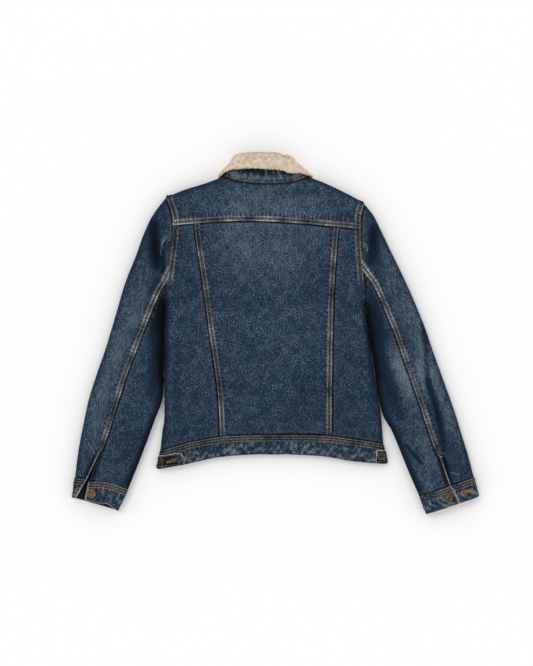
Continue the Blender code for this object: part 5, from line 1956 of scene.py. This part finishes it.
@dataclass
class Trim:
    """The tabs, the buttons, the buttonholes and the bar tacks."""

    body: Body
    sleeves: Sequence
    finishes: Finishes
    steps: int = 48
    radius: float = 8.5
    height: float = 3.0
    proud: float = 3.8  # how far a tab's face is off the body's
    thread: Thread = field(default_factory=Thread)
    rust: Thread = field(default_factory=lambda: Thread(width=0.75))
    tuck_thread: Thread = field(default_factory=lambda: Thread(width=0.9))

    def __post_init__(self) -> None:
        """Starts with no stitches."""
        self.stitches, self.tacks, self.slits, self.pale = [], [], [], []

    def add_button(
        self, name: str, node: str, cloth: Cloth, place: tuple, radius: float, finish: Sequence
    ) -> None:
        """A stamped tack button: a rolled rim, a ring of small beads and a hollow middle.

        Args:
            name: The piece's name.
            node: The solid that it stands for.
            cloth: The cloth that it is riveted through.
            place: Where, in plan.
            radius: Its radius.
            finish: Its material, and the one of its rubbed rings, lighter also as a painted highlight.
        """
        share, level, beads = BUTTON_RINGS.T
        turn = 2 * math.pi * np.arange(self.steps) / self.steps
        height = self.height * (level[:, None] + beads[:, None] * np.cos(16 * turn))
        around = radius * share[:, None] * np.array([np.cos(turn), np.sin(turn)])[:, None]
        point, facing = spot_on(cloth, place, -0.3)
        grid = np.stack([*around, height], axis=2)
        dress(turned_object(name, point[0], facing[0], grid, finish, RUBBED_AND_LIT_RINGS), [node])

    def add_tack(
        self, cloth: Cloth, start: tuple, end: tuple, width: float = 3.0, pitch: float = 0.85
    ) -> None:
        """A bar tack: stitches close together, square to the line from start to end.

        Args:
            cloth: The cloth under it.
            start: One end, in plan.
            end: The other end.
            width: Length of its stitches.
            pitch: Distance from one to the next.
        """
        span = np.subtract(end, start)
        length = float(np.linalg.norm(span))
        count = max(3, round(length / pitch))
        points, normals = spot_on(cloth, np.linspace(start, end, count), 0.1)
        ahead = np.array([*span, 0.0]) / length
        lean = np.cross(normals, ahead) + 0.18 * np.where(np.arange(count) % 2, 1, -1)[:, None] * ahead
        self.tacks.append(self.rust.beads(points, lean, normals, stitch=width))

    def add_hole(self, cloth: Cloth, eye: tuple, tail: tuple, size: float = 2.3, pitch: float = 0.8) -> None:
        """A keyhole buttonhole: stitches square to both sides of a slit and round the eye at its end.

        Args:
            cloth: The cloth that it is cut in.
            eye: The middle of the eye, in plan.
            tail: The other end of the slit.
            size: Length of the stitches.
            pitch: Distance from one to the next.
        """
        eye, tail = np.array(eye, float), np.array(tail, float)
        length = float(np.linalg.norm(tail - eye))
        ahead = (tail - eye) / length
        aside = np.array([-ahead[1], ahead[0]])
        marks = np.arange(2.4, length, pitch)
        narrow = 1.7 - 0.9 * marks / length
        gaps = list(zip(marks, narrow))
        sides = [eye + ahead * mark + side * aside * gap for side in (1, -1) for mark, gap in gaps]
        turn = np.arange(0.9, 2 * math.pi - 0.8, pitch / 2.4)
        spokes = [math.cos(a) * ahead + math.sin(a) * aside for a in turn]
        points, normals = spot_on(cloth, sides + [eye + spoke * 2.8 for spoke in spokes], 0.1)
        ways = np.array([aside] * len(sides) + spokes)
        ways = np.column_stack([ways, np.zeros(len(ways))])
        self.tacks.append(self.rust.beads(points, ways, normals, stitch=size))
        # Dark beads in the slit and the eye: painted shade of the openings.
        long = np.array([[*ahead, 0.0]])
        slit = (eye + ahead * (0.3 + length / 2), 1.1, length, 0.15)
        for place, width, stitch, sink in (slit, (eye, 2.2, 2.4, 0.35)):
            point, normal = spot_on(cloth, place)
            self.slits.append(Thread(width).beads(point, long, normal, stitch, sink))

    def build_tab(self, tab: Tab) -> None:
        """A tab of two layers of denim, worn white along its edges, with its buttons.

        Args:
            tab: The tab.
        """
        ends = (0, 0.02, 0.05, 0.09, 0.14)
        down = spaced(1.0, 0.07, ends, ends)
        left = line_down(tab.upper_start, tab.lower_start, down)
        right = at_shares(np.array([tab.upper_end, tab.tip, tab.lower_end], float), down)
        widths = np.linalg.norm(right - left, axis=1)
        across = columns(widths, 1.2, (0, 0.6, 1.4, 2.4, 3.4), (0, 0.3, 0.8, 1.5, 2.5, 3.5))
        top, bottom = np.array([left[0], right[0]]), np.array([left[-1], right[-1]])
        cloth = self.body.cloth(patch(left, right, top, bottom, down, across))
        sides = [reach(cloth.plan, edge) for edge in (Edge.TOP, Edge.BOTTOM, Edge.RIGHT)]
        away, runs = np.array(sides).swapaxes(0, 1)
        distance = away.min(axis=0)
        run = np.choose(away.argmin(axis=0), runs)
        cloth.relief = self.proud + 0.3 * noise(run, distance, 6, 171) - 1.1 * (1 - smooth(distance / 1.6))
        cloth.relief -= 0.35 * bell(distance - 2.6, 0.8)
        worn = (0.9 + 0.4 * noise(run, distance, 5, 172)) * (1 - smooth((distance - 0.4) / 1.5))
        worn *= 0.15 + 1.3 * np.maximum(near(away[2], 4), near(away[0], 4))
        cloth.wear = np.maximum(worn, 0.25 * smooth(noise(run, distance, 7, 173)))
        cloth.tone -= 1.7
        cloth.press()
        self.stitches += [self.thread.lay(*cloth.line_at(edge, 2.6), 3.0) for edge in (Edge.TOP, Edge.BOTTOM)]
        flat, under = (tab.long, 0.025), ("hem_band_back",)
        cloth.build(f"hem_tab_{tab.name}", self.body.skins, flat, under, thickness=BAND_THICK)
        # Blackened steel, its rims lighter: rubbed, and a painted highlight.
        metal = (self.finishes.dark_metal, self.finishes.steel)
        buttons = ((cloth, tab.button, self.radius - 1), (self.body.hem, tab.spare, 7.0))
        for number, (under, place, radius) in enumerate(buttons, 1):
            node = f"hem_button_{tab.name}_{number}"
            self.add_button(node + "_metal", node, under, place, radius, metal)
        if tab.hole:
            self.add_hole(cloth, *tab.hole)
        self.add_tack(cloth, *tab.tack)

    def build_cuff_trim(self, sleeve: Sleeve, hole: tuple, tacks: Sequence, edging: Sequence = ()) -> None:
        """A cuff's button, buttonhole and bar tacks, and the pale stitches that curve round the hole.

        Args:
            sleeve: The sleeve with the cuff.
            hole: The buttonhole's eye and tail, in plan, and the length of its stitches.
            tacks: The cloth and both ends of each bar tack.
            edging: Plan points of the curved stitches.
        """
        # Left button: lighter rims, rubbed and painted highlight. Right one, half under the flap: painted
        # shade.
        name, cuff, lit_rims = sleeve.side.name, sleeve.side.cuff, sleeve.sign < 0
        node = f"cuff_button_{name}"
        brass = (self.finishes.brass, self.finishes.rubbed_lit_brass if lit_rims else self.finishes.brass)
        size = cuff.button_radius
        self.add_button(node + "_brass", node, sleeve.cuff_flap, cuff.button, size, brass)
        self.add_hole(sleeve.cuff_over, *hole)
        for cloth, start, end in tacks:
            self.add_tack(cloth, start, end)
        if edging:
            self.pale.append(self.thread.lay(*spot_on(sleeve.cuff_over, curve(edging, 8), 0.2)))

    def build_front_buttons(self) -> None:
        """The fastened buttons, which the jacket lies on."""
        brass = (self.finishes.brass, self.finishes.rubbed_lit_brass)
        for number, y in enumerate(CENTRE_BUTTONS, 1):
            node = f"front_button_{number}"
            place = (float(centre_x(y)), float(y))
            self.add_button(node + "_brass", node, self.body.placket, place, self.radius, brass)

    def build_tuck(self, sleeve: Sleeve, rows: Sequence) -> None:
        """Pale rows of stitches along a tuck of the sleeve's head.

        Args:
            sleeve: The sleeve.
            rows: Plan points of each row.
        """
        for row in rows:
            places = at_shares(curve(row, 8), np.linspace(0, 1, 40))
            self.pale.append(self.tuck_thread.lay(*spot_on(sleeve.over, places)))

    def build_threads(self) -> None:
        """The stitches of the trim as objects."""
        dress(bead_object("tab_topstitching", self.stitches, self.finishes.thread))
        dress(bead_object("buttonhole_and_tack_stitches", self.tacks, self.finishes.rust_thread))
        # The slits' dark beads are painted shade.
        dress(bead_object("buttonhole_slits", self.slits, self.finishes.lining_and_slit_shade))
        dress(bead_object("pale_stitches", self.pale, self.finishes.pale_thread))


@dataclass
class Stage:
    """The floor, the soft light and the camera straight above the jacket."""

    finishes: Finishes
    scale: float = 1.9  # millimetres of the table for each pixel of a render that is 666 high
    height: int = 666
    middle_x: float = -16.9
    lens: float = 100.0
    ground: float = 6.0  # half the floor's side, in metres

    def build(self) -> None:
        """Adds all three."""
        corners = np.array([[-1, -1, 0], [1, -1, 0], [1, 1, 0], [-1, 1, 0]]) * self.ground
        floor = make_object("floor", corners / MM, [[0, 1, 2, 3]], [self.finishes.floor])
        world = bpy.data.worlds.new("soft daylight")
        bpy.context.scene.world = world
        world.use_nodes = True
        sky = world.node_tree.nodes["Background"].inputs
        sky["Color"].default_value = (1, 1, 1, 1)
        sky["Strength"].default_value = 0.9
        self.add_light("key", (-0.9, 1.0, 2.2), 20.0, 0.4)
        self.add_camera()
        bpy.context.scene.view_settings.view_transform = "Standard"

    def add_light(self, name: str, place: tuple, spread: float, power: float) -> None:
        """A far, wide lamp that lights all of the table evenly.

        Args:
            name: Its name.
            place: A place in the direction that it shines from.
            spread: How wide it looks, in degrees.
            power: Its strength.
        """
        lamp = bpy.data.lights.new(name, "SUN")
        lamp.angle, lamp.energy = math.radians(spread), power
        thing = bpy.data.objects.new(name, lamp)
        thing.location = place
        thing.rotation_euler = (-Vector(place)).to_track_quat("-Z", "Y").to_euler()
        bpy.context.scene.collection.objects.link(thing)

    def add_camera(self) -> None:
        """A long lens straight above, which sees the full height of a render at the cloth's level."""
        camera = bpy.data.cameras.new("camera")
        camera.lens = self.lens
        seen = self.scale * self.height * MM
        distance = seen * self.lens / camera.sensor_width
        thing = bpy.data.objects.new("camera", camera)
        thing.location = (self.middle_x * MM, 0, distance + CUFF_LOFT / 2 * MM)
        bpy.context.scene.collection.objects.link(thing)
        bpy.context.scene.camera = thing


def main() -> None:
    """Builds the jacket, piece by piece."""
    logging.basicConfig(level=logging.INFO, format="%(message)s")
    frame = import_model()
    log.info("%d solids", len(frame["nodes"]))
    finishes = Finishes()
    left, right = Outline(LEFT), Outline(RIGHT)
    sleeves = [Sleeve(outline, finishes) for outline in (left, right)]
    for sleeve in sleeves:
        sleeve.build()
        sleeve.build_cuff()
        sleeve.build_stitches()
    body = Body(left, right, finishes)
    body.build_yoke()
    body.build_side_panel(left)
    body.build_side_panel(right)
    body.build_centre_panel()
    body.build_hem_back()
    body.build_front(left)
    body.build_front(right)
    body.build_plackets()
    body.build_stitches()
    collar = Collar(body, finishes)
    collar.build_under()
    collar.build_sherpa()
    trim = Trim(body, sleeves, finishes)
    for tab in TABS:
        trim.build_tab(tab)
    one, other = sleeves
    trim.build_cuff_trim(
        one, ((-373.5, -296), (-380.5, -298), 1.8),
        ((one.over, (-337.5, -228.5), (-331, -226)), (one.cuff_flap, (-326, -291), (-326.5, -299))),
    )
    trim.build_cuff_trim(
        other, ((355, -302.5), (374, -295.5), 3.2), ((other.over, (311, -236), (315.5, -233.5)),),
        ((338, -292), (340, -300), (344, -309), (352, -319)),
    )
    trim.build_tuck(one, (
        ((-200, 188), (-208, 178), (-216, 167), (-217.5, 160)),
        ((-199, 179), (-207, 170.5), (-215.5, 159), (-217, 153), (-216, 147)),
    ))
    trim.build_tuck(other, (
        ((165.5, 173), (171, 167), (174, 159), (172, 150)),
        ((165.5, 167), (168.5, 162), (170, 157), (169, 152)),
    ))
    trim.build_front_buttons()
    trim.build_threads()
    Stage(finishes).build()


if __name__ == "__main__":
    main()
